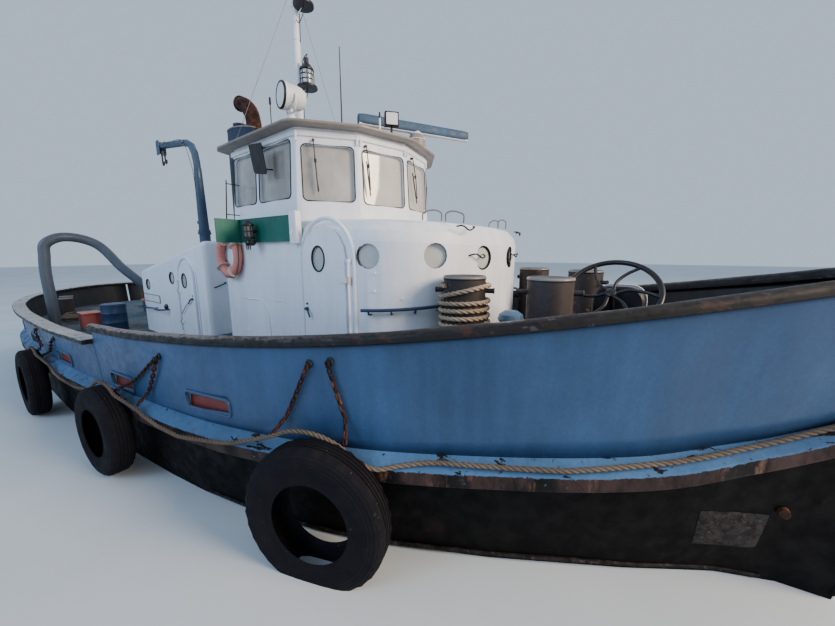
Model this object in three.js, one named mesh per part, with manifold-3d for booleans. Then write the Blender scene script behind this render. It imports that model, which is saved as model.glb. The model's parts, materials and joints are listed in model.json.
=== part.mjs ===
import * as THREE from 'three';
import Module from 'manifold-3d';

const wasm = await Module();
wasm.setup();

// Harbour tug, +X bow, +Y port, +Z up, origin amidships on the waterline, millimetres.

// Hull form, by station X: rail half breadth, rail height, deck height, belting foot height,
// half breadth at the belting, half breadth at the waterline, keel height
const HULL = [
  { x: -8500, rail: 20, railZ: 1620, deck: 1060, belt: 800, beltY: 20, water: 20, keel: 250 },
  { x: -8380, rail: 760, railZ: 1610, deck: 1055, belt: 796, beltY: 700, water: 330, keel: 130 },
  { x: -8000, rail: 1420, railZ: 1590, deck: 1045, belt: 786, beltY: 1350, water: 960, keel: 10 },
  { x: -7300, rail: 2080, railZ: 1560, deck: 1030, belt: 770, beltY: 2010, water: 1720, keel: -130 },
  { x: -6300, rail: 2560, railZ: 1520, deck: 1010, belt: 752, beltY: 2500, water: 2330, keel: -210 },
  { x: -5000, rail: 2810, railZ: 1490, deck: 990, belt: 738, beltY: 2760, water: 2660, keel: -760 },
  { x: -3400, rail: 2880, railZ: 1475, deck: 975, belt: 732, beltY: 2835, water: 2760, keel: -1640 },
  { x: -1600, rail: 2860, railZ: 1485, deck: 970, belt: 732, beltY: 2815, water: 2745, keel: -1750 },
  { x: 500, rail: 2700, railZ: 1500, deck: 970, belt: 735, beltY: 2650, water: 2570, keel: -1760 },
  { x: 2500, rail: 2480, railZ: 1790, deck: 1050, belt: 745, beltY: 2420, water: 2330, keel: -1770 },
  { x: 3500, rail: 2280, railZ: 1868, deck: 1120, belt: 765, beltY: 2205, water: 2100, keel: -1775 },
  { x: 4500, rail: 1975, railZ: 1968, deck: 1220, belt: 800, beltY: 1880, water: 1750, keel: -1780 },
  { x: 5500, rail: 1535, railZ: 2098, deck: 1360, belt: 852, beltY: 1410, water: 1240, keel: -1780 },
  { x: 6500, rail: 1030, railZ: 2262, deck: 1520, belt: 940, beltY: 870, water: 660, keel: -1740 },
  { x: 7300, rail: 620, railZ: 2418, deck: 1665, belt: 1130, beltY: 420, water: 230, keel: -1560 },
  { x: 7900, rail: 330, railZ: 2546, deck: 1790, belt: 1350, beltY: 160, water: 60, keel: -1150 },
  { x: 8500, rail: 24, railZ: 2685, deck: 1910, belt: 1620, beltY: 24, water: 20, keel: -600 },
];
// Height of the rail forward of its step
const FORE_RAIL = [
  { x: 480, railZ: 1688 }, { x: 1500, railZ: 1725 }, { x: 2500, railZ: 1790 },
  { x: 3500, railZ: 1868 }, { x: 4500, railZ: 1968 }, { x: 5500, railZ: 2098 },
  { x: 6500, railZ: 2262 }, { x: 7500, railZ: 2457 }, { x: 8500, railZ: 2685 },
];
const STERN_X = -8500;
const STEM_X = 8500;
const STATION_STEP = 800;
const FORE_RAIL_END = 480;
const PLATE = 14;
const FORE_RAIL_LIFT = 1.1;
const AFT_RAIL_LIFT = 1.5;
const DECK_CAMBER = 40;
const RAIL = { width: 130, height: 95, aftWidth: 210, aftHeight: 62, gap: 0.8 };
// Belting: how far out it stands, height of its face and of the slope above it
const BELT = { out: 130, face: 140, slope: 85, chamfer: 15, gap: 1.5 };
const STRIP = BELT.face + BELT.slope + 3;
const RUDDER = { x: -7000, r: 62, top: 60, foot: -1639.6, half: 45 };
const PROP = { x: -6026, z: -1040, r: 560, blades: 4 };
const SKEG_HALF = 75;
const PIT = { x0: -2400, x1: 100, half: 900, z0: -1000 };
const ENGINE = { x0: -2050, x1: -250, half: 480, top: 350 };
// Freeing ports: middle and length along X
const PORTS = [
  { x: 2900, w: 620, fore: true }, { x: 1150, w: 560, fore: true },
  { x: -900, w: 620 }, { x: -3000, w: 620 }, { x: -5200, w: 620 },
];
const PORT_SILL = 45;
const PORT_HEIGHT = 150;
// Chains welded to eyes in the bulwark: X and height of the eye and of the chain's lower end
const CHAINS = [
  { x: 4188, z: 1756, x2: 4020, z2: 1340, fore: true }, { x: 4380, z: 1794, x2: 4440, z2: 1350, fore: true },
  { x: 2073, z: 1510, x2: 1620, z2: 1200, fore: true }, { x: 2197, z: 1574, x2: 1980, z2: 1180, fore: true },
  { x: -1250, z: 1330, x2: -1440, z2: 1110 }, { x: -2520, z: 1330, x2: -2340, z2: 1110 },
];
const CHAIN_R = 15;
const EYE_R = 34;

// Deckhouse, wheelhouse and casing
const HOUSE = {
  aft: 1450, straight: 4050, front: 4950, half: 1420, topAft: 3150, topFront: 2980, wall: 40, shoulder: 210,
  corner: 120, roundness: 0.86, arc: 20,
};
const WHEEL = { base: 3125, top: 4075, wall: 36, lean: 45, corner: 90, footing: 140 };
const WHEEL_CORNERS = [
  [1400, -1200], [3030, -1280], [3480, -700], [3645, 0], [3480, 700], [3030, 1280], [1400, 1200],
];
const ROOF = { over: 150, aft: 1270, edge: 4100, corner: 220 };
const CASING = {
  fore: 250, aft: -2900, half: 1150, topFore: 2900, topAft: 2300, wall: 36, shoulder: 90, corner: 90,
};
// Seams between the panels of a house: gap, and how far each lies inside the end or below the shoulder
const SEAM = { gap: 0.4, houseAft: 45, houseFore: 4080, casingEnd: 50, below: 5 };
const DOOR_T = 30;
const DOOR_GAP = 8;
const DOORWAY_EDGE = 35;
const DOOR_H = { x0: 3320, x1: 3980, z0: 1330, z1: 2960, hx: 4040, ex: 3900 };
const CDOOR = { x0: -760, x1: -160, z0: 1150, z1: 2520, hx: -820, ex: -680 };
// Portholes of the deckhouse front: place on the plan, bearing, height, radius
const HOUSE_LIGHTS = [
  { x: 4235, y: -1370, yaw: -72, z: 2660, r: 120 }, { x: 4705, y: -965, yaw: -42, z: 2665, r: 122 },
  { x: 4925, y: -370, yaw: -14, z: 2640, r: 115 },
];
// Portholes of the casing sides
const CASING_LIGHTS = [{ x: -1180, z: 2210 }, { x: -2480, z: 2020 }];
const CASING_LIGHT_R = 105;
// Windows: wall number, start and end share of the wall, foot and head
const WINDOWS = [
  { wall: 0, a: 0.075, b: 0.44, z0: 3320, z1: 3950 }, { wall: 0, a: 0.49, b: 0.93, z0: 3320, z1: 3960 },
  { wall: 1, a: 0.11, b: 0.91, z0: 3285, z1: 3900 }, { wall: 2, a: 0.07, b: 0.93, z0: 3270, z1: 3890 },
  { wall: 3, a: 0.07, b: 0.93, z0: 3270, z1: 3890 }, { wall: 4, a: 0.09, b: 0.89, z0: 3285, z1: 3900 },
  { wall: 5, a: 0.07, b: 0.51, z0: 3320, z1: 3960 }, { wall: 5, a: 0.56, b: 0.925, z0: 3320, z1: 3950 },
  { wall: 6, a: 0.12, b: 0.44, z0: 3320, z1: 3900 }, { wall: 6, a: 0.56, b: 0.88, z0: 3320, z1: 3900 },
];
const WINDOW_CORNER = 55;
const GLASS = { in: 1, thick: 8, foot: 3230, head: 4010 };
const HELM = {
  x0: 3062, x1: 3330, half: 430, foot: 2900, top: 3400, front: 3330, wheelX: 3034, wheelZ: 3380, wheelR: 230,
};

const LAMP = { x: 2390, y: -820, z: 4650, r: 165, yaw: -104, foot: 4390 };
const RADAR = { x: 3250, y: 734, z: 4440, turn: 62, half: 895, bar: 75 };
const FLOOD = { x: 3560, y: -215, z: 4235, half: 85, height: 165, depth: 80 };
const WHIP = { x: 2500, y: -60, top: 5520 };
const MAST = { x: 1480, top: 7050, r: 58, tipR: 46, lanternX: 1690 };
const LANTERN_Z = [5200, 6330];
const STAYS = [-1, 1];
const FUNNEL = { x: -180, rx: 430, ry: 300, top: 4950, pipeX: -380, pipeR: 115, pipeTop: 5090 };
const ELBOW = { r: 130, bore: 112 };
const DAVIT = { x: -60, y: -960, drumR: 85, drum: 190, collar: 40, r: 58 };
const BUOY = { x: 1775, z: 2660, r: 245, tube: 60, off: 54.4 };
const TOW = { x: -3420, pin: -3780, z: 1640 };
const HOOP_R = 95;
// Bollard pairs: places of the two posts, radius, height of the cap
const BOLLARDS = [
  { name: 'bollards_fore_stbd', a: [5050, -985], b: [5740, -735], r: 190, top: 2490, sides: 20 },
  { name: 'bollards_fore_port', a: [5050, 985], b: [5740, 735], r: 190, top: 2490, sides: 20 },
  { name: 'bollards_aft_stbd', a: [-6300, -1850], b: [-5750, -1950], r: 130, top: 1560, sides: 12 },
  { name: 'bollards_aft_port', a: [-6300, 1850], b: [-5750, 1950], r: 130, top: 1560, sides: 12 },
];
const TURNS = { z0: 1930, count: 8, rope: 42, gap: 0.3 };
const WINDLASS = { x: 6200 };
const HUB = [6140, -240, 2330];
const HANDWHEEL = { r: 385, rim: 24, spoke: 15, spokes: 6, tilt: Math.PI * 0.25 };
const VENT = { x: 5250, y: -330, r: 70 };
const HATCH = { x0: -5600, x1: -4700, half: 420, top: 1330, wall: 20, lip: 30, lid: 50 };

const TYRES = [
  { name: 'tyre_1', x: 4270, z: 520, dia: 1310, width: 280 },
  { name: 'tyre_2', x: 1120, z: 560, dia: 1100, width: 270 },
  { name: 'tyre_3', x: -1900, z: 560, dia: 1100, width: 270 },
];
// Rope along the starboard side: station X, height over the belting's foot; on a tyre, height over its middle
const SIDE_ROPE = [
  { x: -2650, up: 150 }, { x: -2200, tyre: 2 }, { x: -1620, tyre: 2 }, { x: -1150, up: 175 },
  { x: -700, up: 110 }, { x: -100, up: 95 }, { x: 400, up: 150 }, { x: 830, tyre: 1 }, { x: 1420, tyre: 1 },
  { x: 1850, up: 165 },
  { x: 2200, up: 100 }, { x: 2575, up: 75 }, { x: 3341, up: 165 }, { x: 3880, tyre: 0 }, { x: 4700, tyre: 0 },
  { x: 5114, up: 205 }, { x: 6023, up: 187 }, { x: 6519, up: 205 }, { x: 6874, up: 207 }, { x: 7262, up: 215 },
  { x: 7560, up: 222 },
];
const SIDE_ROPE_R = 22;
const ROPE_CLEAR = 6;
const ROPE_STEP = 150;

const mats = {};
function mat(name, color, roughness = 0.7, metalness = 0.0) {
  if (!mats[name]) {
    mats[name] = new THREE.MeshStandardMaterial({ color, roughness, metalness, name });
  }
  return mats[name].clone();
}
const white = () => mat('white_paint', 0xe8eaec, 0.5);
const lightBlue = () => mat('light_blue', 0x5b86ab, 0.55);

const group = new THREE.Group();
group.name = 'tug';

function addMesh(name, geometry, material) {
  const m = new THREE.Mesh(geometry, material);
  m.name = name;
  group.add(m);
  return m;
}

function lerp(a, b, t) { return a + (b - a) * t; }
const rad = (deg) => deg * Math.PI / 180;

// Monotone cubic reading of one column of the hull table
function column(key, table = HULL) {
  const n = table.length;
  const h = [], d = [], m = new Array(n).fill(0);
  for (let i = 0; i < n - 1; i++) {
    h.push(table[i + 1].x - table[i].x);
    d.push((table[i + 1][key] - table[i][key]) / h[i]);
  }
  m[0] = d[0];
  m[n - 1] = d[n - 2];
  for (let i = 1; i < n - 1; i++) {
    if (d[i - 1] * d[i] <= 0) m[i] = 0;
    else {
      const w1 = 2 * h[i] + h[i - 1], w2 = h[i] + 2 * h[i - 1];
      m[i] = (w1 + w2) / (w1 / d[i - 1] + w2 / d[i]);
    }
  }
  return (x) => {
    let i = 0;
    const xc = Math.min(Math.max(x, table[0].x), table[n - 1].x);
    while (i < n - 2 && xc > table[i + 1].x) i++;
    const t = (xc - table[i].x) / h[i], t2 = t * t, t3 = t2 * t;
    return (2 * t3 - 3 * t2 + 1) * table[i][key] + (t3 - 2 * t2 + t) * h[i] * m[i]
      + (-2 * t3 + 3 * t2) * table[i + 1][key] + (t3 - t2) * h[i] * m[i + 1];
  };
}
const railY = column('rail'), deckZ = column('deck'), beltZ = column('belt'), beltY = column('beltY');
const waterY = column('water'), keelZ = column('keel');
const railZTable = column('railZ');
const railZFore = column('railZ', FORE_RAIL);
const railZAft = column('railZ', HULL.slice(0, 9));

// Rake of the ends: how far a level lies inside the rail's ends
function rakeX(x, z) {
  const fore = Math.max(0, (x - 6000) / 2500), aft = Math.max(0, (-6500 - x) / 2000);
  const low = Math.max(0, 2685 - z);
  return x - fore * fore * low * 0.245 + aft * aft * Math.max(0, 1620 - z) * 0.16;
}

function signedVolume(pos, idx) {
  let v = 0;
  for (let i = 0; i < idx.length; i += 3) {
    const a = pos[idx[i]], b = pos[idx[i + 1]], c = pos[idx[i + 2]];
    v += a[0] * (b[1] * c[2] - b[2] * c[1]);
    v += a[1] * (b[2] * c[0] - b[0] * c[2]);
    v += a[2] * (b[0] * c[1] - b[1] * c[0]);
  }
  return v / 6;
}

function bufferFrom(pos, idx) {
  if (signedVolume(pos, idx) < 0) {
    for (let i = 0; i < idx.length; i += 3) { const t = idx[i]; idx[i] = idx[i + 1]; idx[i + 1] = t; }
  }
  const g = new THREE.BufferGeometry();
  g.setAttribute('position', new THREE.Float32BufferAttribute(pos.flat(), 3));
  g.setIndex(idx);
  return g;
}

// Closed body through rings of equal count, capped at both ends or joined round
function loft(rings, joined = false) {
  const n = rings[0].length, k = rings.length;
  const pos = rings.flat().map((p) => [...p]);
  const idx = [];
  const last = joined ? k : k - 1;
  for (let i = 0; i < last; i++) {
    const a = i * n, b = ((i + 1) % k) * n;
    for (let j = 0; j < n; j++) {
      const j2 = (j + 1) % n;
      idx.push(a + j, b + j, b + j2, a + j, b + j2, a + j2);
    }
  }
  if (!joined) {
    for (const [start, flip] of [[0, false], [(k - 1) * n, true]]) {
      const c = [0, 0, 0];
      for (let j = 0; j < n; j++) for (let q = 0; q < 3; q++) c[q] += pos[start + j][q] / n;
      pos.push(c);
      const ci = pos.length - 1;
      for (let j = 0; j < n; j++) {
        const j2 = (j + 1) % n;
        if (flip) idx.push(ci, start + j2, start + j); else idx.push(ci, start + j, start + j2);
      }
    }
  }
  return bufferFrom(pos, idx);
}

function mergeVerts(geometry) {
  const g = geometry.index ? geometry.toNonIndexed() : geometry;
  const p = g.getAttribute('position');
  const map = new Map(), pos = [], idx = [];
  for (let i = 0; i < p.count; i++) {
    const v = [p.getX(i), p.getY(i), p.getZ(i)];
    const key = v.map((q) => Math.round(q * 1000)).join(',');
    let id = map.get(key);
    if (id === undefined) { id = pos.length; pos.push(v); map.set(key, id); }
    idx.push(id);
  }
  const out = [];
  for (let i = 0; i < idx.length; i += 3) {
    const [p0, p1, p2] = idx.slice(i, i + 3);
    if (p0 !== p1 && p1 !== p2 && p0 !== p2) out.push(p0, p1, p2);
  }
  return { pos, idx: out };
}

function toSolid(geometry) {
  const { pos, idx } = mergeVerts(geometry);
  return new wasm.Manifold(new wasm.Mesh({
    numProp: 3, vertProperties: new Float32Array(pos.flat()), triVerts: new Uint32Array(idx),
  }));
}
function fromSolid(solid) {
  const m = solid.getMesh();
  const pos = [];
  for (let i = 0; i < m.vertProperties.length; i += m.numProp) {
    pos.push([m.vertProperties[i], m.vertProperties[i + 1], m.vertProperties[i + 2]]);
  }
  const g = new THREE.BufferGeometry();
  g.setAttribute('position', new THREE.Float32BufferAttribute(pos.flat(), 3));
  g.setIndex(Array.from(m.triVerts));
  return g;
}
function union(list) { return list.reduce((a, b) => a.add(b)); }
const SHIFTS = [[1, 0, 0], [-1, 0, 0], [0, 1, 0], [0, -1, 0], [0, 0, 1], [0, 0, -1]];
// Cuts a piece back from its neighbour so that a thin gap stays between them
function fit(piece, base, gap = 0.6, dirs = SHIFTS) {
  let p = piece;
  for (const d of dirs) p = p.subtract(base.translate(d[0] * gap, d[1] * gap, d[2] * gap));
  return p;
}
// Slides a piece along a direction until a thin gap to its neighbour is left
function seat(piece, base, dir, gap = 0.5) {
  let p = piece;
  for (let i = 0; i < 6; i++) {
    const d = p.minGap(base, 400) - gap;
    p = p.translate(dir[0] * d, dir[1] * d, dir[2] * d);
  }
  return p;
}
function biggest(solid) {
  const parts = solid.decompose();
  if (parts.length === 1) return parts[0];
  let best = parts[0];
  for (const p of parts) if (p.volume() > best.volume()) best = p;
  return best;
}

function boxSolid(x0, x1, y0, y1, z0, z1) {
  const g = new THREE.BoxGeometry(x1 - x0, y1 - y0, z1 - z0);
  g.translate((x0 + x1) / 2, (y0 + y1) / 2, (z0 + z1) / 2);
  return toSolid(g);
}
// Round bar from a to b
function barGeo(a, b, r, seg = 16, r2 = r) {
  const A = new THREE.Vector3(...a), B = new THREE.Vector3(...b);
  const g = new THREE.CylinderGeometry(r2, r, A.distanceTo(B), seg);
  const q = new THREE.Quaternion().setFromUnitVectors(new THREE.Vector3(0, 1, 0), B.clone().sub(A).normalize());
  g.applyQuaternion(q);
  g.translate((A.x + B.x) / 2, (A.y + B.y) / 2, (A.z + B.z) / 2);
  return g;
}
function bar(a, b, r, seg = 16, r2 = r) { return toSolid(barGeo(a, b, r, seg, r2)); }
// Tube along points, with rounded bends
function tube(points, r, steps = 40, seg = 10, closed = false, tension = 0.5) {
  const through = points.map((p) => new THREE.Vector3(...p));
  const curve = new THREE.CatmullRomCurve3(through, closed, 'catmullrom', tension);
  const round = [];
  for (let i = 0; i < seg; i++) {
    const a = (i / seg) * Math.PI * 2;
    round.push(new THREE.Vector2(r * Math.cos(a), r * Math.sin(a)));
  }
  const shape = new THREE.Shape(round);
  return new THREE.ExtrudeGeometry(shape, { steps, extrudePath: curve, bevelEnabled: false });
}
function lathe(profile, seg = 32) {
  const g = new THREE.LatheGeometry(profile.map((p) => new THREE.Vector2(p[0], p[1])), seg);
  g.rotateX(Math.PI / 2);
  return g;
}
// Extruded outline lying in XZ, thickness along Y from y0 to y1
function slabXZ(outline, y0, y1) {
  const s = new THREE.Shape(outline.map((p) => new THREE.Vector2(p[0], p[1])));
  const g = new THREE.ExtrudeGeometry(s, { depth: y1 - y0, bevelEnabled: false });
  g.rotateX(Math.PI / 2);
  g.translate(0, y1, 0);
  return g;
}
// Extruded outline lying in XY, height along Z
function slabXY(outline, z0, z1) {
  const s = new THREE.Shape(outline.map((p) => new THREE.Vector2(p[0], p[1])));
  const g = new THREE.ExtrudeGeometry(s, { depth: z1 - z0, bevelEnabled: false });
  g.translate(0, 0, z0);
  return g;
}
function archOutline(x0, x1, z0, z1, n = 8) {
  const r = (x1 - x0) / 2, cx = (x0 + x1) / 2, out = [[x0, z0], [x1, z0]];
  for (let i = 0; i <= n; i++) {
    const a = (i / n) * Math.PI;
    out.push([cx + r * Math.cos(a), z1 - r + r * Math.sin(a)]);
  }
  return out;
}
function ovalOutline(cx, cz, rx, rz, n = 16) {
  const out = [];
  for (let i = 0; i < n; i++) {
    const a = (i / n) * Math.PI * 2;
    out.push([cx + rx * Math.cos(a), cz + rz * Math.sin(a)]);
  }
  return out;
}
function mirrorY(geometry) {
  const g = geometry.clone();
  const p = g.getAttribute('position');
  for (let i = 0; i < p.count; i++) p.setY(i, -p.getY(i));
  if (g.index) {
    const a = g.index.array;
    for (let i = 0; i < a.length; i += 3) { const t = a[i]; a[i] = a[i + 1]; a[i + 1] = t; }
  } else {
    const a = p.array;
    for (let i = 0; i < a.length; i += 9) {
      for (let q = 0; q < 3; q++) { const t = a[i + q]; a[i + q] = a[i + 3 + q]; a[i + 3 + q] = t; }
    }
  }
  g.deleteAttribute('normal');
  g.deleteAttribute('uv');
  return g;
}


// Hull body, keel to deck
function stationXs() {
  const xs = [];
  for (let i = 0; i < HULL.length - 1; i++) {
    const a = HULL[i].x, b = HULL[i + 1].x, n = Math.max(1, Math.round((b - a) / STATION_STEP));
    for (let k = 0; k < n; k++) xs.push(a + (b - a) * k / n);
  }
  xs.push(STEM_X);
  return xs;
}
const XS = stationXs();
const clamp01 = (t) => Math.max(0, Math.min(1, t));

function deckHalf(x) {
  const rise = (deckZ(x) - beltZ(x)) / Math.max(200, railZTable(x) - beltZ(x));
  return lerp(beltY(x), railY(x), rise * 0.8);
}
// Underwater levels: height amidships and at the stern, share of the waterline amidships and at the ends
const BILGE = [
  { low: -350, lowAft: -120, wide: 0.985, narrow: 0.80 }, { low: -800, lowAft: -300, wide: 0.90, narrow: 0.58 },
  { low: -1180, lowAft: -420, wide: 0.66, narrow: 0.36 }, { low: -1480, lowAft: -520, wide: 0.34, narrow: 0.18 },
];
function hullHalf(x) {
  const bz = beltZ(x), by = beltY(x), wy = waterY(x), kz = keelZ(x);
  const fine = clamp01((x - 3500) / 4600);
  const lift = clamp01((-4200 - x) / 2600);
  const out = [[deckHalf(x), deckZ(x)], [by, bz + STRIP], [by, bz], [lerp(by, wy, 0.5), bz * 0.5], [wy, 0]];
  BILGE.forEach(({ low, lowAft, wide, narrow }, i) => {
    const z = Math.max(lerp(low, lowAft, lift), kz + (4 - i) * 45);
    const share = lerp(wide, narrow, fine);
    out.push([Math.max(18, wy * share), Math.min(z, -20 * (i + 1))]);
  });
  out.push([Math.max(14, Math.min(60, wy * 0.2)), Math.min(kz + 10, -110)]);
  return out;
}
const camber = (half) => Math.min(DECK_CAMBER, half * 0.02);
function hullGeometry() {
  return loft(XS.map((x) => {
    const h = hullHalf(x);
    const ring = [[rakeX(x, h[0][1]), 0, h[0][1] + camber(h[0][0])]];
    for (const [y, z] of h) ring.push([rakeX(x, z), -y, z]);
    for (const [y, z] of h.slice().reverse()) ring.push([rakeX(x, z), y, z]);
    return ring;
  }));
}

// Stations between two ends, with both ends
function stationsBetween(xFrom, xTo) {
  return [xFrom, ...XS.filter((x) => x > xFrom + 1 && x < xTo - 1), xTo];
}
const acrossY = (p) => [p[0], -p[1], p[2]];
// Starboard outline at one level, from aft forward
function sideLine(xFrom, xTo, yAt, zAt) {
  return stationsBetween(xFrom, xTo).map((x) => [rakeX(x, zAt(x)), -yAt(x), zAt(x)]);
}
const roundTheBow = (line) => line.concat(line.slice().reverse().map(acrossY));
const roundTheStern = (line) => line.slice().reverse().concat(line.map(acrossY));
// Outward level normals of an outline followed with its outside on the right
function normals(pts, closed = false) {
  const n = pts.length;
  return pts.map((_, i) => {
    const a = pts[closed ? (i - 1 + n) % n : Math.max(0, i - 1)];
    const b = pts[closed ? (i + 1) % n : Math.min(n - 1, i + 1)];
    const dx = b[0] - a[0], dy = b[1] - a[1], l = Math.hypot(dx, dy) || 1;
    return [dy / l, -dx / l];
  });
}
// Section (u outward, v up) carried along an outline
function carry(pts, section) {
  const nn = normals(pts);
  return loft(pts.map((p, i) => section.map(([u, v]) => [p[0] + nn[i][0] * u, p[1] + nn[i][1] * u, p[2] + v])));
}

let hull = toSolid(hullGeometry());
// Skeg and shoe under the counter
const SKEG = [
  [-4000, -1745], [-7350, -1745], [-7350, -1640], [-5750, -1640], [-5650, -1130], [-5750, -860], [-5560, -380],
  [-5200, -100], [-3800, -100],
];
hull = hull.add(toSolid(slabXZ(SKEG, -SKEG_HALF, SKEG_HALF)));
hull = hull.add(bar([-4700, 0, PROP.z], [PROP.x + 190.4, 0, PROP.z], 150, 24, 110));
hull = hull.subtract(boxSolid(PIT.x0, PIT.x1, -PIT.half, PIT.half, PIT.z0, 2000));
hull = hull.subtract(bar([RUDDER.x, 0, -1500], [RUDDER.x, 0, RUDDER.top + 50], RUDDER.r + 7, 16));
hull = biggest(hull);
addMesh('hull', fromSolid(hull), mat('hull_paint', 0x14161a, 0.6, 0.2));
// Block with the deck's own surface on top, used to seat what stands on the deck
const deckBlock = toSolid(loft(XS.map((x) => {
  const dy = deckHalf(x), dz = deckZ(x), xr = rakeX(x, dz);
  return [[xr, 0, dz + camber(dy)], [xr, -dy, dz], [xr, -dy, -500], [xr, dy, -500], [xr, dy, dz]];
}))).translate(0, 0, 0.8);
const onDeck = (s) => biggest(s.subtract(deckBlock));

// Engine standing in the pit under the casing
{
  const { x0, x1, half, top } = ENGINE;
  const block = boxSolid(x0, x1, -half, half, PIT.z0 + 0.5, top);
  addMesh('engine', fromSolid(block), mat('engine_paint', 0x4b5a52, 0.6, 0.3));
}

// Bulwark forward of the step and aft of it, with freeing ports cut and chains hanging from eyes
function bulwarkBody(xFrom, xTo, zTop, bow) {
  const round = bow ? roundTheBow : roundTheStern;
  const lift = bow ? FORE_RAIL_LIFT : AFT_RAIL_LIFT;
  const low = round(sideLine(xFrom, xTo, deckHalf, deckZ)).map(([x, y, z]) => [x, y, z + lift]);
  const high = round(sideLine(xFrom, xTo, railY, zTop));
  const inward = bow ? -PLATE : PLATE;
  const nl = normals(low), nh = normals(high);
  const drawn = (p, n) => [p[0] + n[0] * inward, p[1] + n[1] * inward, p[2]];
  return toSolid(loft(low.map((p, i) => [p, high[i], drawn(high[i], nh[i]), drawn(p, nl[i])])));
}
// Half breadth of the bulwark's outer face at a height
function plateHalf(x, z, zTop) {
  return lerp(deckHalf(x), railY(x), (z - deckZ(x)) / (zTop(x) - deckZ(x)));
}
function chainBody(c, zTop) {
  const at = (x, z, out) => [x, plateHalf(x, z, zTop) + out, z];
  const eye = bar(at(c.x, c.z, -4), at(c.x, c.z, 20), EYE_R, 10);
  const links = [0, 0.5, 1].map((t) => at(lerp(c.x, c.x2, t), lerp(c.z, c.z2, t), CHAIN_R - 4));
  return eye.add(toSolid(tube(links, CHAIN_R, 2, 5)));
}
function bulwark(name, body, zTop, fore) {
  let b = body;
  for (const p of PORTS.filter((q) => Boolean(q.fore) === fore)) {
    const z0 = deckZ(p.x) + PORT_SILL;
    b = b.subtract(boxSolid(p.x - p.w / 2, p.x + p.w / 2, -3100, 3100, z0, z0 + PORT_HEIGHT));
  }
  for (const c of CHAINS.filter((q) => Boolean(q.fore) === fore)) {
    const chain = chainBody(c, zTop);
    b = b.add(chain).add(chain.mirror([0, 1, 0]));
  }
  addMesh(name, fromSolid(biggest(b)), mat('blue_paint', 0x3e628a, 0.55, 0.1));
}
bulwark('bulwark_fore', bulwarkBody(FORE_RAIL_END, STEM_X, railZFore, true), railZFore, true);
bulwark('bulwark_aft', bulwarkBody(STERN_X, FORE_RAIL_END - 2, railZAft, false), railZAft, false);

// Rails: half round forward, low and flat aft
function railSection(w, h, n = 6) {
  const s = [[-w / 2, 0], [w / 2, 0]];
  for (let i = 0; i <= n; i++) {
    const a = (i / n) * Math.PI;
    s.push([w / 2 * Math.cos(a), h * 0.35 + h * 0.65 * Math.sin(a)]);
  }
  return s;
}
const lifted = (line) => line.map(([x, y, z]) => [x, y, z + RAIL.gap]);
{
  const line = lifted(roundTheBow(sideLine(FORE_RAIL_END, STEM_X, railY, railZFore)));
  addMesh('rail_fore', fromSolid(biggest(toSolid(carry(line, railSection(RAIL.width, RAIL.height))))),
    mat('rail_grey', 0x6a6762, 0.7, 0.2));
}
{
  const w = RAIL.aftWidth / 2, h = RAIL.aftHeight;
  const section = [[w, 0], [-w, 0], [-w, h - 22], [-w + 25, h], [w - 25, h], [w, h - 22]];
  const line = lifted(roundTheStern(sideLine(STERN_X, FORE_RAIL_END - 70, railY, railZAft)));
  const body = biggest(toSolid(carry(line, section)));
  addMesh('rail_aft', fromSolid(body), mat('aft_rail_grey', 0xa9adad, 0.6, 0.1));
}

// Belting round the whole hull
const BELT_SECTION = [
  [BELT.gap, 0], [BELT.out * 0.8, 0], [BELT.out, 25], [BELT.out, BELT.face - 20],
  [BELT.out - BELT.chamfer, BELT.face], [BELT.gap, BELT.face + BELT.slope],
];
function beltingBody() {
  const order = XS.concat(XS.slice().reverse());
  const levels = BELT_SECTION.map(([, v]) => order.map((x, i) => [
    rakeX(x, beltZ(x) + v), (i < XS.length ? -1 : 1) * beltY(x), beltZ(x) + v,
  ]));
  const nn = levels.map((l) => normals(l, true));
  return toSolid(loft(order.map((x, i) => BELT_SECTION.map(([u], k) => [
    levels[k][i][0] + nn[k][i][0] * u, levels[k][i][1] + nn[k][i][1] * u, levels[k][i][2],
  ])), true));
}
const belting = beltingBody();
addMesh('belting', fromSolid(belting), mat('belting_rust', 0x6b4a38, 0.8, 0.2));

// Quarter circle of plan points round each corner of a house
function cornerArc(cx, cy, r, from, steps) {
  const out = [];
  for (let i = 0; i <= steps; i++) {
    const a = rad(from + 90 * i / steps);
    out.push([cx + r * Math.cos(a), cy + r * Math.sin(a)]);
  }
  return out;
}
// Shell with a rounded shoulder between its sides and its sloping top
function shoulderedBody(planAt, topAt, radius, inset, zBottom, drop) {
  const rings = [planAt(inset).map(([x, y]) => [x, y, zBottom])];
  const steps = 3;
  for (let i = 0; i <= steps; i++) {
    const a = (i / steps) * Math.PI / 2;
    const plan = planAt(inset + radius * (1 - Math.cos(a)));
    rings.push(plan.map(([x, y]) => [x, y, topAt(x) - drop - radius + radius * Math.sin(a)]));
  }
  return toSolid(loft(rings));
}
// The two sides of a sloping seam below a house's shoulder
function seamHalves(x0, x1, topAt, below) {
  const z = (x) => topAt(x) - below;
  const far = 3000;
  const slab = (gap, reach) => toSolid(slabXZ([
    [x0, z(x0) + gap], [x1, z(x1) + gap], [x1, z(x1) + reach], [x0, z(x0) + reach],
  ], -far, far));
  return { above: slab(SEAM.gap / 2, far), under: slab(-SEAM.gap / 2, -far) };
}
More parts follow.
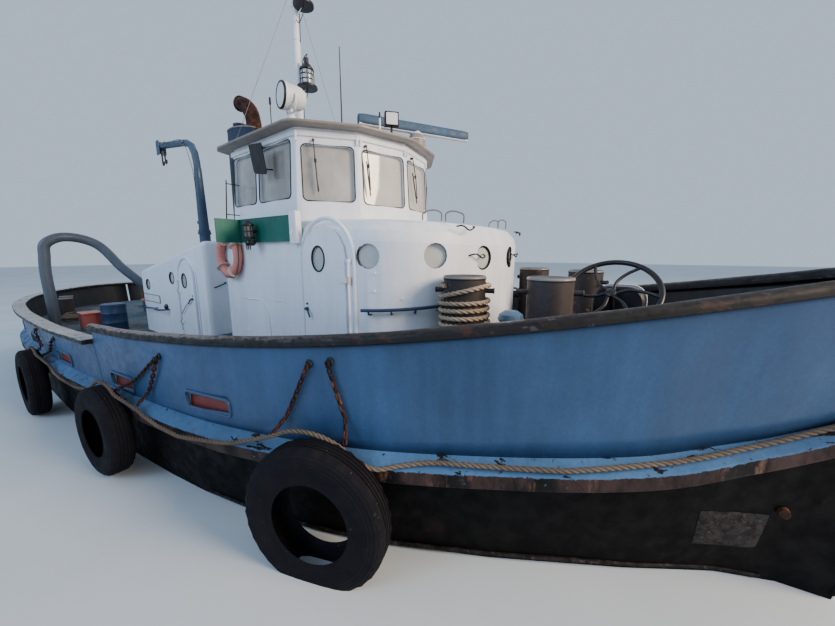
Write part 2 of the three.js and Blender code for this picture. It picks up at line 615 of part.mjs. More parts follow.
// Splits a house shell into top, fore end, after end and sides, where its panels meet
function panels(shell, x0, x1, topAt, shoulder, aftCut, foreCut) {
  const { above, under } = seamHalves(x0 - 100, x1 + 100, topAt, shoulder + SEAM.below);
  const walls = shell.intersect(under), g = SEAM.gap / 2, far = 3000;
  const side = (y0, y1) => biggest(walls.intersect(boxSolid(aftCut + g, foreCut - g, y0, y1, -far, far * 2)));
  return {
    top: biggest(shell.intersect(above)),
    aft: biggest(walls.intersect(boxSolid(x0 - 100, aftCut - g, -far, far, -far, far * 2))),
    fore: biggest(walls.intersect(boxSolid(foreCut + g, x1 + 100, -far, far, -far, far * 2))),
    stbd: side(-far, 0),
    port: side(0, far),
  };
}

// Deckhouse
function housePlan(inset = 0) {
  const hw = HOUSE.half - inset, aft = HOUSE.aft + inset, a = HOUSE.front - inset - HOUSE.straight;
  const rc = Math.max(20, HOUSE.corner - inset), p = HOUSE.roundness, o = [];
  o.push(...cornerArc(aft + rc, -hw + rc, rc, 180, 2));
  for (let i = 0; i <= HOUSE.arc; i++) {
    const t = -Math.PI / 2 + (i / HOUSE.arc) * Math.PI;
    const c = Math.cos(t), s = Math.sin(t);
    o.push([HOUSE.straight + a * Math.pow(Math.abs(c), p), hw * Math.sign(s) * Math.pow(Math.abs(s), p)]);
  }
  o.push(...cornerArc(aft + rc, hw - rc, rc, 90, 2));
  return o;
}
const houseTop = (x) => lerp(HOUSE.topAft, HOUSE.topFront, (x - HOUSE.aft) / (HOUSE.front - HOUSE.aft));
const houseBody = (inset, zBottom, drop) =>
  shoulderedBody(housePlan, houseTop, Math.max(60, HOUSE.shoulder - inset), inset, zBottom, drop);
// Lugs that carry a door's hinge bar, above and below it
function hingeLugs(d, half) {
  const y = half + DOOR_GAP + DOOR_T + 6;
  const lugs = [[d.z0 + 105, d.z0 + 139.7], [d.z1 - 359.7, d.z1 - 325]].map(([z0, z1]) =>
    boxSolid(d.hx - 16, d.hx + 16, half - 12, y + 14, z0, z1));
  const one = union(lugs);
  return one.add(one.mirror([0, 1, 0]));
}
// Doorways in both sides of a house, behind its doors
function doorways(d, half) {
  const op = archOutline(d.x0 + DOORWAY_EDGE, d.x1 - DOORWAY_EDGE, d.z0 + 60, d.z1 - DOORWAY_EDGE);
  const one = toSolid(slabXZ(op, half - 200, half + 60));
  return one.add(one.mirror([0, 1, 0]));
}
// Mitred plan of the wheelhouse drawn in by an inset
function mitred(base, inset) {
  const n = base.length;
  return base.map((p, i) => {
    const a = base[(i - 1 + n) % n], b = base[(i + 1) % n];
    const e1 = [p[0] - a[0], p[1] - a[1]], e2 = [b[0] - p[0], b[1] - p[1]];
    const l1 = Math.hypot(...e1), l2 = Math.hypot(...e2);
    const n1 = [e1[1] / l1, -e1[0] / l1], n2 = [e2[1] / l2, -e2[0] / l2];
    const k = 1 + n1[0] * n2[0] + n1[1] * n2[1];
    return [p[0] - inset * (n1[0] + n2[0]) / k, p[1] - inset * (n1[1] + n2[1]) / k];
  });
}
// Plan with each corner rounded to a radius
function softened(base, radius, steps = 2) {
  const n = base.length, out = [];
  for (let i = 0; i < n; i++) {
    const p = new THREE.Vector2(...base[i]);
    const u = new THREE.Vector2(...base[(i - 1 + n) % n]).sub(p).normalize();
    const v = new THREE.Vector2(...base[(i + 1) % n]).sub(p).normalize();
    const half = Math.acos(u.dot(v)) / 2;
    const centre = p.clone().add(u.clone().add(v).normalize().multiplyScalar(radius / Math.sin(half)));
    const from = p.clone().add(u.clone().multiplyScalar(radius / Math.tan(half))).sub(centre);
    const turn = Math.PI - 2 * half;
    for (let k = 0; k <= steps; k++) {
      const q = from.clone().rotateAround(new THREE.Vector2(0, 0), turn * k / steps).add(centre);
      out.push([q.x, q.y]);
    }
  }
  return out;
}

let house = houseBody(0, 700, 0).subtract(houseBody(HOUSE.wall, 500, HOUSE.wall));
house = house.add(hingeLugs(DOOR_H, HOUSE.half)).subtract(doorways(DOOR_H, HOUSE.half));
for (const L of HOUSE_LIGHTS) {
  for (const s of [1, -1]) {
    const yaw = s * rad(L.yaw), dx = Math.cos(yaw), dy = Math.sin(yaw);
    const from = [L.x - dx * 260, s * L.y - dy * 260, L.z], to = [L.x + dx * 200, s * L.y + dy * 200, L.z];
    house = house.subtract(bar(from, to, L.r, 16));
  }
}
// Way down from the wheelhouse, short of the helm
const stairway = mitred(WHEEL_CORNERS, WHEEL.footing).map(([x, y]) => [Math.min(Math.max(x, 1700), 3000), y]);
house = house.subtract(toSolid(slabXY(stairway.filter(([x, y], i) => i !== 3), 2700, 3300)));
house = onDeck(house);
const HOUSE_PANELS = panels(house, HOUSE.aft, HOUSE.front, houseTop, HOUSE.shoulder,
  HOUSE.aft + SEAM.houseAft, SEAM.houseFore);
addMesh('deckhouse_top', fromSolid(HOUSE_PANELS.top), white());
addMesh('deckhouse_front', fromSolid(HOUSE_PANELS.fore), white());
addMesh('deckhouse_back', fromSolid(HOUSE_PANELS.aft), white());
addMesh('deckhouse_side_stbd', fromSolid(HOUSE_PANELS.stbd), white());
addMesh('deckhouse_side_port', fromSolid(HOUSE_PANELS.port), white());

// Door with a round head, an oval light, and arms to its hinge bar
function doorBody(d, half, side) {
  const o = archOutline(d.x0, d.x1, d.z0, d.z1);
  const y0 = half + DOOR_GAP, y1 = y0 + DOOR_T;
  const light = ovalOutline((d.x0 + d.x1) / 2 - 60, d.z1 - 330, 95, 125);
  let s = toSolid(slabXZ(o, y0, y1)).subtract(toSolid(slabXZ(light, y0 - 5, y1 + 5)));
  s = s.add(bar([d.hx, y1 + 6, d.z0 + 140], [d.hx, y1 + 6, d.z1 - 360], 13, 12));
  for (const z of [d.z0 + 240, d.z1 - 560]) {
    s = s.add(boxSolid(Math.min(d.hx, d.ex), Math.max(d.hx, d.ex), y0 + 6, y1 + 10, z, z + 60));
  }
  const geo = fromSolid(s);
  return side > 0 ? geo : mirrorY(geo);
}
for (const [n, s] of [['stbd', -1], ['port', 1]]) {
  addMesh('deckhouse_door_' + n, doorBody(DOOR_H, HOUSE.half, s), white());
  addMesh('casing_door_' + n, doorBody(CDOOR, CASING.half, s), white());
}

// Wheelhouse walls with window openings
function leanPlan(inset, z) {
  const t = (z - WHEEL.base) / (WHEEL.top - WHEEL.base);
  const plan = mitred(WHEEL_CORNERS, inset + WHEEL.lean * t);
  return softened(plan, WHEEL.corner - inset).map(([x, y]) => [x, y, z]);
}
let wheel = toSolid(loft([leanPlan(0, WHEEL.base - 300), leanPlan(0, WHEEL.top)]))
  .subtract(toSolid(loft([leanPlan(WHEEL.wall, WHEEL.base - 310), leanPlan(WHEEL.wall, WHEEL.top + 10)])));
function roundedRect(w, h, r, n = 2) {
  const x = w / 2 - r, y = h / 2 - r;
  return [
    ...cornerArc(x, -y, r, -90, n), ...cornerArc(x, y, r, 0, n),
    ...cornerArc(-x, y, r, 90, n), ...cornerArc(-x, -y, r, 180, n),
  ];
}
for (const w of WINDOWS) {
  const A = WHEEL_CORNERS[w.wall], B = WHEEL_CORNERS[(w.wall + 1) % WHEEL_CORNERS.length];
  const mid = (w.a + w.b) / 2, width = (w.b - w.a) * Math.hypot(B[0] - A[0], B[1] - A[1]);
  const s = new THREE.Shape(roundedRect(width, w.z1 - w.z0, WINDOW_CORNER).map((p) => new THREE.Vector2(...p)));
  const g = new THREE.ExtrudeGeometry(s, { depth: 400, bevelEnabled: false });
  g.translate(0, 0, -200);
  g.rotateX(Math.PI / 2);
  g.rotateZ(Math.atan2(B[1] - A[1], B[0] - A[0]));
  g.translate(lerp(A[0], B[0], mid), lerp(A[1], B[1], mid), (w.z0 + w.z1) / 2);
  wheel = wheel.subtract(toSolid(g));
}
wheel = biggest(fit(wheel, house));
addMesh('wheelhouse', fromSolid(wheel), white());
{
  const i0 = WHEEL.wall + GLASS.in, i1 = i0 + GLASS.thick;
  const glass = toSolid(loft([leanPlan(i0, GLASS.foot), leanPlan(i0, GLASS.head)]))
    .subtract(toSolid(loft([leanPlan(i1, GLASS.foot - 30), leanPlan(i1, GLASS.head + 30)])));
  addMesh('wheelhouse_glazing', fromSolid(biggest(glass)), mat('glass', 0x1b2226, 0.1, 0.0));
}
// Helm: console under the front windows and the steering wheel
{
  const { x0, x1, half, foot, top, front, wheelX, wheelZ, wheelR } = HELM;
  const desk = [[x0, foot], [x1, foot], [x1, front], [x0 + 90, top], [x0, top]];
  let s = toSolid(slabXZ(desk, -half, half)).add(bar([wheelX - 12, 0, wheelZ], [x0 + 40, 0, wheelZ], 34, 12));
  const rim = new THREE.TorusGeometry(wheelR, 15, 5, 20);
  rim.rotateY(Math.PI / 2);
  rim.translate(wheelX, 0, wheelZ);
  s = s.add(toSolid(rim));
  for (let i = 0; i < 3; i++) {
    const a = i * Math.PI / 3, y = wheelR * Math.cos(a), z = wheelR * Math.sin(a);
    s = s.add(bar([wheelX, -y, wheelZ - z], [wheelX, y, wheelZ + z], 9, 5));
  }
  s = biggest(fit(s, house));
  addMesh('helm', fromSolid(s), mat('helm_grey', 0xb4ad9c, 0.6));
}
// Wheelhouse roof with its thin brim, searchlight stand, radar post and whip aerial
const ROOF_CORNERS = WHEEL_CORNERS.map(([x, y]) => [x < 2000 ? ROOF.aft : x, y]);
// Roof edge upwards and inwards: height, distance in from the brim
const ROOF_RINGS = [
  [WHEEL.top + 0.4, 60], [ROOF.edge - 12, 6], [ROOF.edge - 4, 0], [ROOF.edge + 10, 0], [ROOF.edge + 18, 8],
  [ROOF.edge + 64, 200], [ROOF.edge + 112, 760],
];
let roof = toSolid(loft(ROOF_RINGS.map(([z, ins]) => {
  const plan = mitred(ROOF_CORNERS, WHEEL.lean - ROOF.over + ins);
  return softened(plan, Math.max(30, ROOF.corner - ins)).map(([x, y]) => [x, y, z]);
})));
roof = roof.add(bar([LAMP.x, LAMP.y, ROOF.edge], [LAMP.x, LAMP.y, LAMP.foot], 38, 16));
roof = roof.add(bar([RADAR.x, RADAR.y, ROOF.edge], [RADAR.x, RADAR.y, RADAR.z - 80], 150, 24, 135));
roof = roof.add(bar([RADAR.x, RADAR.y, RADAR.z - 90], [RADAR.x, RADAR.y, RADAR.z], 135, 24, 90));
roof = roof.add(bar([WHIP.x, WHIP.y, ROOF.edge], [WHIP.x, WHIP.y, ROOF.edge + 170], 24, 12, 16));
roof = roof.add(bar([WHIP.x, WHIP.y, ROOF.edge + 160], [WHIP.x, WHIP.y, WHIP.top], 11, 8, 5));
roof = biggest(roof);
addMesh('wheelhouse_roof', fromSolid(roof), mat('roof_beige', 0xcfc8b8, 0.6));
// Searchlight on its pivot, facing abeam
{
  const { x, y, z, r, yaw, foot } = LAMP;
  const profile = [
    [0, -190], [r - 95, -180], [r - 37, -130], [r - 15, -60], [r - 15, 60], [r, 66], [r, 120],
    [r - 9, 130], [0, 130],
  ];
  let s = toSolid(lathe(profile, 24).rotateY(Math.PI / 2).rotateZ(rad(yaw))).translate(x, y, z);
  s = s.add(bar([x, y, foot + 0.4], [x, y, z - 100], 34, 12));
  s = s.add(bar([x, y, foot + 0.4], [x, y, foot + 40], 52, 12));
  addMesh('searchlight', fromSolid(biggest(s)), mat('white_metal', 0xdadcdc, 0.4, 0.3));
}
// Radar scanner: long bar with rounded edges on a turning foot
{
  const section = roundedRect(RADAR.bar * 1.7, RADAR.bar * 2, 50, 4);
  const rings = [-RADAR.half, RADAR.half].map((x) => section.map(([y, z]) => [x, y, z + 6 + RADAR.bar]));
  let s = toSolid(loft(rings)).rotate([0, 0, RADAR.turn]);
  s = s.add(bar([0, 0, 0.4], [0, 0, 80], 70, 20)).translate(RADAR.x, RADAR.y, RADAR.z);
  addMesh('radar_scanner', fromSolid(biggest(s)), mat('radar_blue', 0x24364c, 0.5));
}
// Floodlight on a short post at the roof's front
{
  const { x, y, z, half, height, depth } = FLOOD;
  let s = boxSolid(-depth / 2, depth / 2, -half, half, 0, height).rotate([0, 0, -40]).translate(x, y, z);
  s = s.add(bar([x, y, ROOF.edge], [x, y, z + 40], 14, 10));
  addMesh('floodlight', fromSolid(biggest(fit(s, roof))), mat('black_metal', 0x18191b, 0.5, 0.4));
}
// Mast with two lanterns on brackets and its two stays
{
  let s = bar([MAST.x, 0, ROOF.edge], [MAST.x, 0, MAST.top], MAST.r, 20, MAST.tipR);
  const lantern = [
    [0, 0], [152, 4], [148, 30], [90, 66], [90, 250], [106, 270], [50, 340], [34, 430], [0, 430],
  ];
  for (const z of LANTERN_Z) {
    s = s.add(bar([MAST.x, 0, z + 60], [MAST.lanternX, 0, z + 60], 18, 10));
    s = s.add(toSolid(lathe(lantern, 18)).translate(MAST.lanternX, 0, z));
  }
  s = fit(s, roof);
  for (const side of STAYS) {
    s = s.add(bar([MAST.x, side * 20, 6700], [1420, side * 1120, ROOF.edge + 20], 7, 6));
  }
  s = fit(s, roof, 0.5);
  addMesh('mast', fromSolid(biggest(s)), mat('white_metal', 0xdadcdc, 0.4, 0.3));
}

// Side light boards, one each side
for (const [n, side] of [['stbd', -1], ['port', 1]]) {
  let s = boxSolid(2080, 3240, 1450, 1466, 2815, 3100);
  s = s.add(boxSolid(2080, 2098, 1450, 1760, 2815, 3100));
  s = s.add(boxSolid(3170, 3290, HOUSE.half + 0.4, 1490, 2790, 3130));
  for (const x of [2300, 2900]) s = s.add(boxSolid(x, x + 30, HOUSE.half + 0.4, 1452, 2820, 3050));
  const geo = fromSolid(s), colour = side > 0 ? 0x7a1f1c : 0x1d4a34;
  addMesh('sidelight_board_' + n, side > 0 ? geo : mirrorY(geo), mat('board_' + n, colour, 0.5));
}
// Lifebuoy
{
  const g = new THREE.TorusGeometry(BUOY.r, BUOY.tube, 8, 24);
  g.rotateX(Math.PI / 2);
  g.scale(0.95, 0.9, 1);
  g.translate(BUOY.x, -HOUSE.half - BUOY.off, BUOY.z);
  addMesh('lifebuoy', g, mat('buoy_orange', 0xd3796a, 0.7));
}

// Casing aft of the deckhouse
function casingPlan(inset) {
  const hw = CASING.half - inset, x0 = CASING.aft + inset, x1 = CASING.fore - inset;
  const rc = Math.max(15, CASING.corner - inset);
  return [
    ...cornerArc(x0 + rc, -hw + rc, rc, 180, 3), ...cornerArc(x1 - rc, -hw + rc, rc, 270, 3),
    ...cornerArc(x1 - rc, hw - rc, rc, 0, 3), ...cornerArc(x0 + rc, hw - rc, rc, 90, 3),
  ];
}
const casingTop = (x) => lerp(CASING.topAft, CASING.topFore, (x - CASING.aft) / (CASING.fore - CASING.aft));
const casingBody = (inset, zBottom, drop) =>
  shoulderedBody(casingPlan, casingTop, Math.max(30, CASING.shoulder - inset), inset, zBottom, drop);
let casing = casingBody(0, 700, 0).subtract(casingBody(CASING.wall, 500, CASING.wall));
casing = casing.add(hingeLugs(CDOOR, CASING.half)).subtract(doorways(CDOOR, CASING.half));
for (const { x, z } of CASING_LIGHTS) {
  casing = casing.subtract(bar([x, -1400, z], [x, 1400, z], CASING_LIGHT_R, 16));
}
casing = onDeck(casing);
const CASING_PANELS = panels(casing, CASING.aft, CASING.fore, casingTop, CASING.shoulder,
  CASING.aft + SEAM.casingEnd, CASING.fore - SEAM.casingEnd);
addMesh('casing_top', fromSolid(CASING_PANELS.top), white());
addMesh('casing_fore', fromSolid(CASING_PANELS.fore), white());
addMesh('casing_back', fromSolid(CASING_PANELS.aft), white());
addMesh('casing_side_stbd', fromSolid(CASING_PANELS.stbd), white());
addMesh('casing_side_port', fromSolid(CASING_PANELS.port), white());

// Funnel with its vent pipe, and the exhaust elbow
{
  const plan = (rx, ry, z) => ovalOutline(FUNNEL.x, 0, rx, ry, 28).map(([x, y]) => [x, y, z]);
  const { rx, ry, top } = FUNNEL;
  let f = toSolid(loft([plan(rx, ry, 2700), plan(rx - 20, ry - 15, top - 60), plan(rx - 50, ry - 45, top)]));
  f = f.add(bar([FUNNEL.pipeX, 0, top - 200], [FUNNEL.pipeX, 0, FUNNEL.pipeTop], FUNNEL.pipeR, 20));
  f = biggest(fit(f, casing));
  addMesh('funnel', fromSolid(f), mat('funnel_blue', 0x1e3550, 0.6));
  const route = [[100, 0, 4700], [105, 0, 5020], [70, -12, 5190], [-50, -36, 5330], [-210, -60, 5400]];
  const inner = [[95, 0, 4980], [95, 0, 5060], [60, -14, 5200], [-55, -38, 5332], [-240, -64, 5408]];
  let e = toSolid(tube(route, ELBOW.r, 8, 12)).subtract(toSolid(tube(inner, ELBOW.bore, 6, 12)));
  e = biggest(fit(e, f));
  addMesh('exhaust_elbow', fromSolid(e), mat('rust', 0x5a3223, 0.9, 0.2));
}

// Davit: drum base and swinging arm
{
  const { x, y } = DAVIT, zt = casingTop(DAVIT.x);
  let b = bar([x, y, zt - 80], [x, y, zt + DAVIT.drum], DAVIT.drumR, 24);
  b = b.add(bar([x, y, zt + DAVIT.drum - 30], [x, y, zt + DAVIT.drum], DAVIT.drumR + 18, 24));
  addMesh('davit_base', fromSolid(biggest(fit(b, casing))), lightBlue());
  const foot = zt + DAVIT.drum + 0.4;
  let a = bar([x, y, foot], [x, y, foot + DAVIT.collar], DAVIT.drumR + 10, 24);
  a = a.add(bar([x, y, foot + 20], [x - 20, y, zt + 1250], DAVIT.r + 22, 14, DAVIT.r));
  const bend = [
    [x - 18, y, zt + 1180], [x - 40, y, zt + 1400], [x - 130, y, zt + 1600], [x - 330, y, zt + 1700],
    [x - 800, y, zt + 1760], [x - 1430, y, zt + 1830],
  ];
  a = a.add(toSolid(tube(bend, DAVIT.r, 11, 8)));
  a = a.add(boxSolid(x - 1460, x - 1410, y - 45, y + 45, zt + 1690, zt + 1900));
  addMesh('davit_arm', fromSolid(biggest(a)), lightBlue());
}

// Tow hoops over the side decks
for (const [n, s] of [['stbd', -1], ['port', 1]]) {
  const pts = [
    [-4000, 2430, 700], [-4000, 2430, 1500], [-4000, 2420, 2600], [-3990, 2380, 2860], [-3960, 2200, 2990],
    [-3930, 1900, 3000], [-3880, 1700, 2930], [-3500, 1260, 2300], [-3380, 1120, 2110], [-3180, 900, 1800],
    [-3120, 850, 700],
  ].map(([x, y, z]) => [x, y * s, z]);
  addMesh('tow_hoop_' + n, fromSolid(onDeck(toSolid(tube(pts, HOOP_R, 22, 8, false, 0.35)))), lightBlue());
}
// Towing post with its swivelling hook
{
  const { x, pin, z } = TOW;
  let b = bar([x, 0, 700], [x, 0, 2050], 150, 24).add(bar([x, 0, 2040], [x, 0, 2080], 190, 24));
  b = b.add(boxSolid(x - 230, x + 230, -230, 230, 700, 1080));
  b = b.add(boxSolid(pin - 90, x, -110, 110, z - 90, z));
  b = b.add(bar([pin, 0, z - 10], [pin, 0, z + 11.6], 70, 16));
  b = b.add(bar([pin, 0, z - 10], [pin, 0, z + 120], 40, 16));
  b = b.add(bar([pin, 0, z + 80], [pin, 0, z + 104], 62, 16));
  addMesh('tow_post', fromSolid(onDeck(b)), mat('black_metal', 0x1d1e20, 0.6, 0.4));
  const outline = [
    [-110, -70], [60, -70], [84, 0], [60, 70], [-110, 70], [-330, 60], [-560, 80], [-640, 0], [-600, -110],
    [-500, -130], [-470, -70], [-540, -50], [-540, 10], [-480, 20], [-330, -60],
  ];
  const bore = bar([pin, 0, z], [pin, 0, z + 200], 46, 16);
  const hook = toSolid(slabXY(outline, 0, 60)).translate(pin, 0, z + 12).subtract(bore);
  addMesh('tow_hook', fromSolid(biggest(hook)), mat('hook_metal', 0x3b3a38, 0.6, 0.5));
}

// Bollard pairs: base plate and two capped posts with cross pins
for (const d of BOLLARDS) {
  const dx = d.b[0] - d.a[0], dy = d.b[1] - d.a[1], L = Math.hypot(dx, dy);
  const ux = dx / L, uy = dy / L;
  const base = new THREE.BoxGeometry(L, 1.2 * d.r, 400);
  base.rotateZ(Math.atan2(dy, dx));
  base.translate((d.a[0] + d.b[0]) / 2, (d.a[1] + d.b[1]) / 2, deckZ((d.a[0] + d.b[0]) / 2) - 140);
  let s = toSolid(base);
  for (const [x, y] of [d.a, d.b]) {
    const foot = deckZ(x) + 60, rim = d.top - 80;
    const profile = [
      [0, 800], [d.r + 28, 800], [d.r + 28, foot], [d.r, foot], [d.r, rim], [d.r + 18, rim],
      [d.r + 10, d.top], [0, d.top],
    ];
    const out = d.r * 1.42, z = d.top - d.r * 0.7;
    const pin = bar([x - ux * out, y - uy * out, z], [x + ux * out, y + uy * out, z], d.r * 0.12, 6);
    s = s.add(toSolid(lathe(profile, d.sides)).translate(x, y, 0)).add(pin);
  }
  addMesh(d.name, fromSolid(onDeck(s)), mat('bollard_metal', 0x33302d, 0.7, 0.4));
}
// Turns of rope wound on the after post of the fore starboard pair
{
  const { z0, count, rope, gap } = TURNS;
  const [x, y] = BOLLARDS[0].a, r = BOLLARDS[0].r + gap, top = z0 + rope * count;
  const profile = [[r, z0 + 4]];
  for (let k = 0; k < count; k++) {
    const z = z0 + rope * k;
    profile.push([r + rope * 0.6, z], [r + rope, z + rope / 2]);
  }
  profile.push([r + rope * 0.6, top], [r, top - 4]);
  profile.push(profile[0]);
  const g = lathe(profile, BOLLARDS[0].sides);
  g.translate(x, y, 0);
  addMesh('bollard_rope', fromSolid(toSolid(g)), mat('rope', 0x8e8066, 0.9));
}

// Windlass and its handwheel
{
  const { x } = WINDLASS;
  let s = boxSolid(x - 420, x + 420, -430, 430, 1200, 1640);
  for (const side of [-1, 1]) {
    s = s.add(boxSolid(x - 300, x + 300, 300 * side - 30, 300 * side + 30, 1500, 2130));
    s = s.add(bar([x, side * 560, 1840], [x, side * 430, 1840], 110, 18));
  }
  s = s.add(bar([x, -520, 1840], [x, 520, 1840], 60, 16)).add(bar([x, -275, 1840], [x, 275, 1840], 190, 24));
  s = s.add(bar([HUB[0], HUB[1] + 250, HUB[2] - 250], [HUB[0], HUB[1] + 27.2, HUB[2] - 27.2], 26, 12));
  s = s.add(boxSolid(HUB[0] - 45, HUB[0] + 45, -60, 60, 1900, 2120));
  addMesh('windlass', fromSolid(onDeck(s)), mat('windlass_metal', 0x2a2c2e, 0.7, 0.4));
  const { r, rim, spoke, spokes, tilt } = HANDWHEEL;
  let w = toSolid(new THREE.TorusGeometry(r, rim, 6, 26)).add(bar([0, 0, -38], [0, 0, 30], 45, 12));
  for (let i = 0; i < spokes; i++) {
    const a = i * 2 * Math.PI / spokes;
    const at = (d, da) => [d * Math.cos(a + da), d * Math.sin(a + da), 0];
    w = w.add(toSolid(tube([at(20, 0), at(140, 0.32), at(270, 0.12), at(r, -0.02)], spoke, 4, 5)));
  }
  const g = fromSolid(biggest(w));
  g.rotateX(tilt);
  g.translate(...HUB);
  addMesh('windlass_handwheel', g, mat('windlass_metal', 0x2a2c2e, 0.7, 0.4));
}

// Mushroom vent on the foredeck
{
  const cap = [[0, 1985], [125, 1985], [135, 2010], [120, 2060], [70, 2095], [0, 2105]];
  const stem = bar([VENT.x, VENT.y, 1000], [VENT.x, VENT.y, 2010], VENT.r, 20);
  const vent = stem.add(toSolid(lathe(cap, 28)).translate(VENT.x, VENT.y, 0));
  addMesh('mushroom_vent', fromSolid(onDeck(vent)), lightBlue());
}
// Stores hatch aft
{
  const { x0, x1, half, top, wall, lip, lid } = HATCH;
  const c = boxSolid(x0, x1, -half, half, 800, top)
    .subtract(boxSolid(x0 + wall, x1 - wall, -half + wall, half - wall, 700, top + 50));
  addMesh('hatch_coaming', fromSolid(onDeck(c)), lightBlue());
  let l = boxSolid(x0 - lip, x1 + lip, -half - lip, half + lip, top + 0.6, top + lid);
  l = l.add(bar([x1 + 48, -300, top + 40], [x1 + 48, 300, top + 40], 20, 12));
  l = l.add(boxSolid(x1 + 20, x1 + 52, -280, 280, top + 26, top + 54));
  addMesh('hatch_lid', fromSolid(biggest(l)), mat('hatch_red', 0x8f4a44));
}

// Propeller
{
  let p = toSolid(lathe([[0, -190], [60, -170], [105, -90], [115, 60], [115, 150], [0, 150]], 20));
  // Blade sections: radius, chord, pitch angle, thickness
  const BLADE = [
    [80, 280, 0.95, 46], [0.46 * PROP.r, 400, 0.75, 30], [0.77 * PROP.r, 410, 0.55, 18],
    [0.94 * PROP.r, 280, 0.48, 12], [PROP.r, 120, 0.45, 8],
  ];
  const SHAPE = [[-0.5, 0], [-0.2, 1], [0.2, 1], [0.5, 0], [0.2, -1], [-0.2, -1]];
  const blade = toSolid(loft(BLADE.map(([r, chord, pitch, thick]) => SHAPE.map(([u, v]) => {
    const along = u * chord, off = v * thick / 2;
    const cos = Math.cos(pitch), sin = Math.sin(pitch);
    return [r, along * cos - off * sin, along * sin + off * cos];
  }))));
  for (let i = 0; i < PROP.blades; i++) p = p.add(blade.rotate([0, 0, i * 360 / PROP.blades]));
  const g = fromSolid(biggest(p));
  g.rotateY(-Math.PI / 2);
  g.translate(PROP.x, 0, PROP.z);
  addMesh('propeller', g, mat('bronze', 0x8a6a35, 0.4, 0.8));
}
// Rudder, its pintle on the shoe and its stock up in the hull's trunk
{
  const blade = [[-6880, -1600], [-7560, -1550], [-7620, -760], [-7440, -330], [-6900, -300], [-6820, -900]];
  const r = toSolid(slabXZ(blade, -RUDDER.half, RUDDER.half))
    .add(bar([RUDDER.x, 0, RUDDER.foot], [RUDDER.x, 0, RUDDER.top], RUDDER.r, 16));
  addMesh('rudder', fromSolid(biggest(r)), mat('rudder_black', 0x1a1b1d, 0.7, 0.2));
}

// Tyre fenders hanging at the belting, both sides
function tyreGeometry(d) {
  const R = d.dia / 2, w = d.width, hole = R * 0.5;
  const profile = [
    [hole, -w * 0.42], [R * 0.8, -w * 0.5], [R * 0.94, -w * 0.42], [R, -w * 0.26], [R, w * 0.26],
    [R * 0.94, w * 0.42], [R * 0.8, w * 0.5], [hole, w * 0.42], [R * 0.86, w * 0.32], [R * 0.86, -w * 0.32],
  ];
  profile.push(profile[0]);
  return new THREE.LatheGeometry(profile.map((p) => new THREE.Vector2(...p)), 24);
}
const tyreSlope = (d) => Math.atan2(beltY(d.x - 200) - beltY(d.x + 200), 400);
const tyreBodies = TYRES.map((d) => {
  const slope = tyreSlope(d), off = BELT.out + d.width / 2 + 6;
  const g = tyreGeometry(d);
  g.rotateZ(-slope);
  g.translate(d.x + Math.sin(slope) * off, beltY(d.x) + Math.cos(slope) * off, d.z);
  return seat(toSolid(g), belting, [-Math.sin(slope), -Math.cos(slope), 0]);
});
for (const [n, s] of [['stbd', -1], ['port', 1]]) {
  TYRES.forEach((d, i) => {
    const t = fromSolid(tyreBodies[i]);
    addMesh(d.name + '_' + n, s > 0 ? t : mirrorY(t), mat('tyre_rubber', 0x17181a, 0.9));
  });
}

// Rope along the starboard side, over the belting's ledge and the tyres
function ropeOnBelt(x, up) {
  const r = SIDE_ROPE_R + ROPE_CLEAR;
  const ledge = BELT.out * (1 - (up - BELT.face) / BELT.slope);
  const out = Math.min(BELT.out + r, ledge + r * Math.hypot(BELT.out, BELT.slope) / BELT.slope);
  const line = sideLine(STERN_X, STEM_X, beltY, (s) => beltZ(s) + up), nn = normals(line);
  const i = Math.max(1, XS.findIndex((s) => s >= x)) - 1, t = (x - XS[i]) / (XS[i + 1] - XS[i]);
  const at = (k) => [line[k][0] + nn[k][0] * out, line[k][1] + nn[k][1] * out, line[k][2]];
  return at(i).map((v, q) => lerp(v, at(i + 1)[q], t));
}
function ropeOnTyre(x, d) {
  const slope = tyreSlope(d), out = BELT.out + d.width * 0.3, reach = d.dia / 2 + SIDE_ROPE_R + ROPE_CLEAR;
  const along = (x - d.x - Math.sin(slope) * out) / Math.cos(slope);
  const z = d.z + Math.sqrt(Math.max(0, reach * reach - along * along));
  return [x, -(beltY(d.x) + Math.cos(slope) * out - Math.sin(slope) * along), z];
}
const ropePoint = (x, { up, tyre }) => (tyre === undefined ? ropeOnBelt(x, up) : ropeOnTyre(x, TYRES[tyre]));
{
  const route = [];
  SIDE_ROPE.slice(1).forEach((b, i) => {
    const a = SIDE_ROPE[i], n = Math.max(1, Math.round((b.x - a.x) / ROPE_STEP));
    for (let k = 0; k < n; k++) {
      const t = k / n, x = lerp(a.x, b.x, t);
      if (a.tyre === b.tyre) route.push(ropePoint(x, { up: lerp(a.up, b.up, t), tyre: a.tyre }));
      else {
        const end = ropePoint(b.x, b);
        route.push(ropePoint(a.x, a).map((v, q) => lerp(v, end[q], t)));
      }
    }
  });
  const last = SIDE_ROPE[SIDE_ROPE.length - 1];
  route.push(ropePoint(last.x, last));
  addMesh('side_rope', tube(route, SIDE_ROPE_R, 72, 6), mat('rope', 0x8e8066, 0.9));
}

export default group;
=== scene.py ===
import json
from math import radians

import bpy
import numpy as np
from bpy.props import FloatProperty, FloatVectorProperty, PointerProperty
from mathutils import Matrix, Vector
from numpy import array, concatenate, cos, cross, linspace, pi, sin, stack

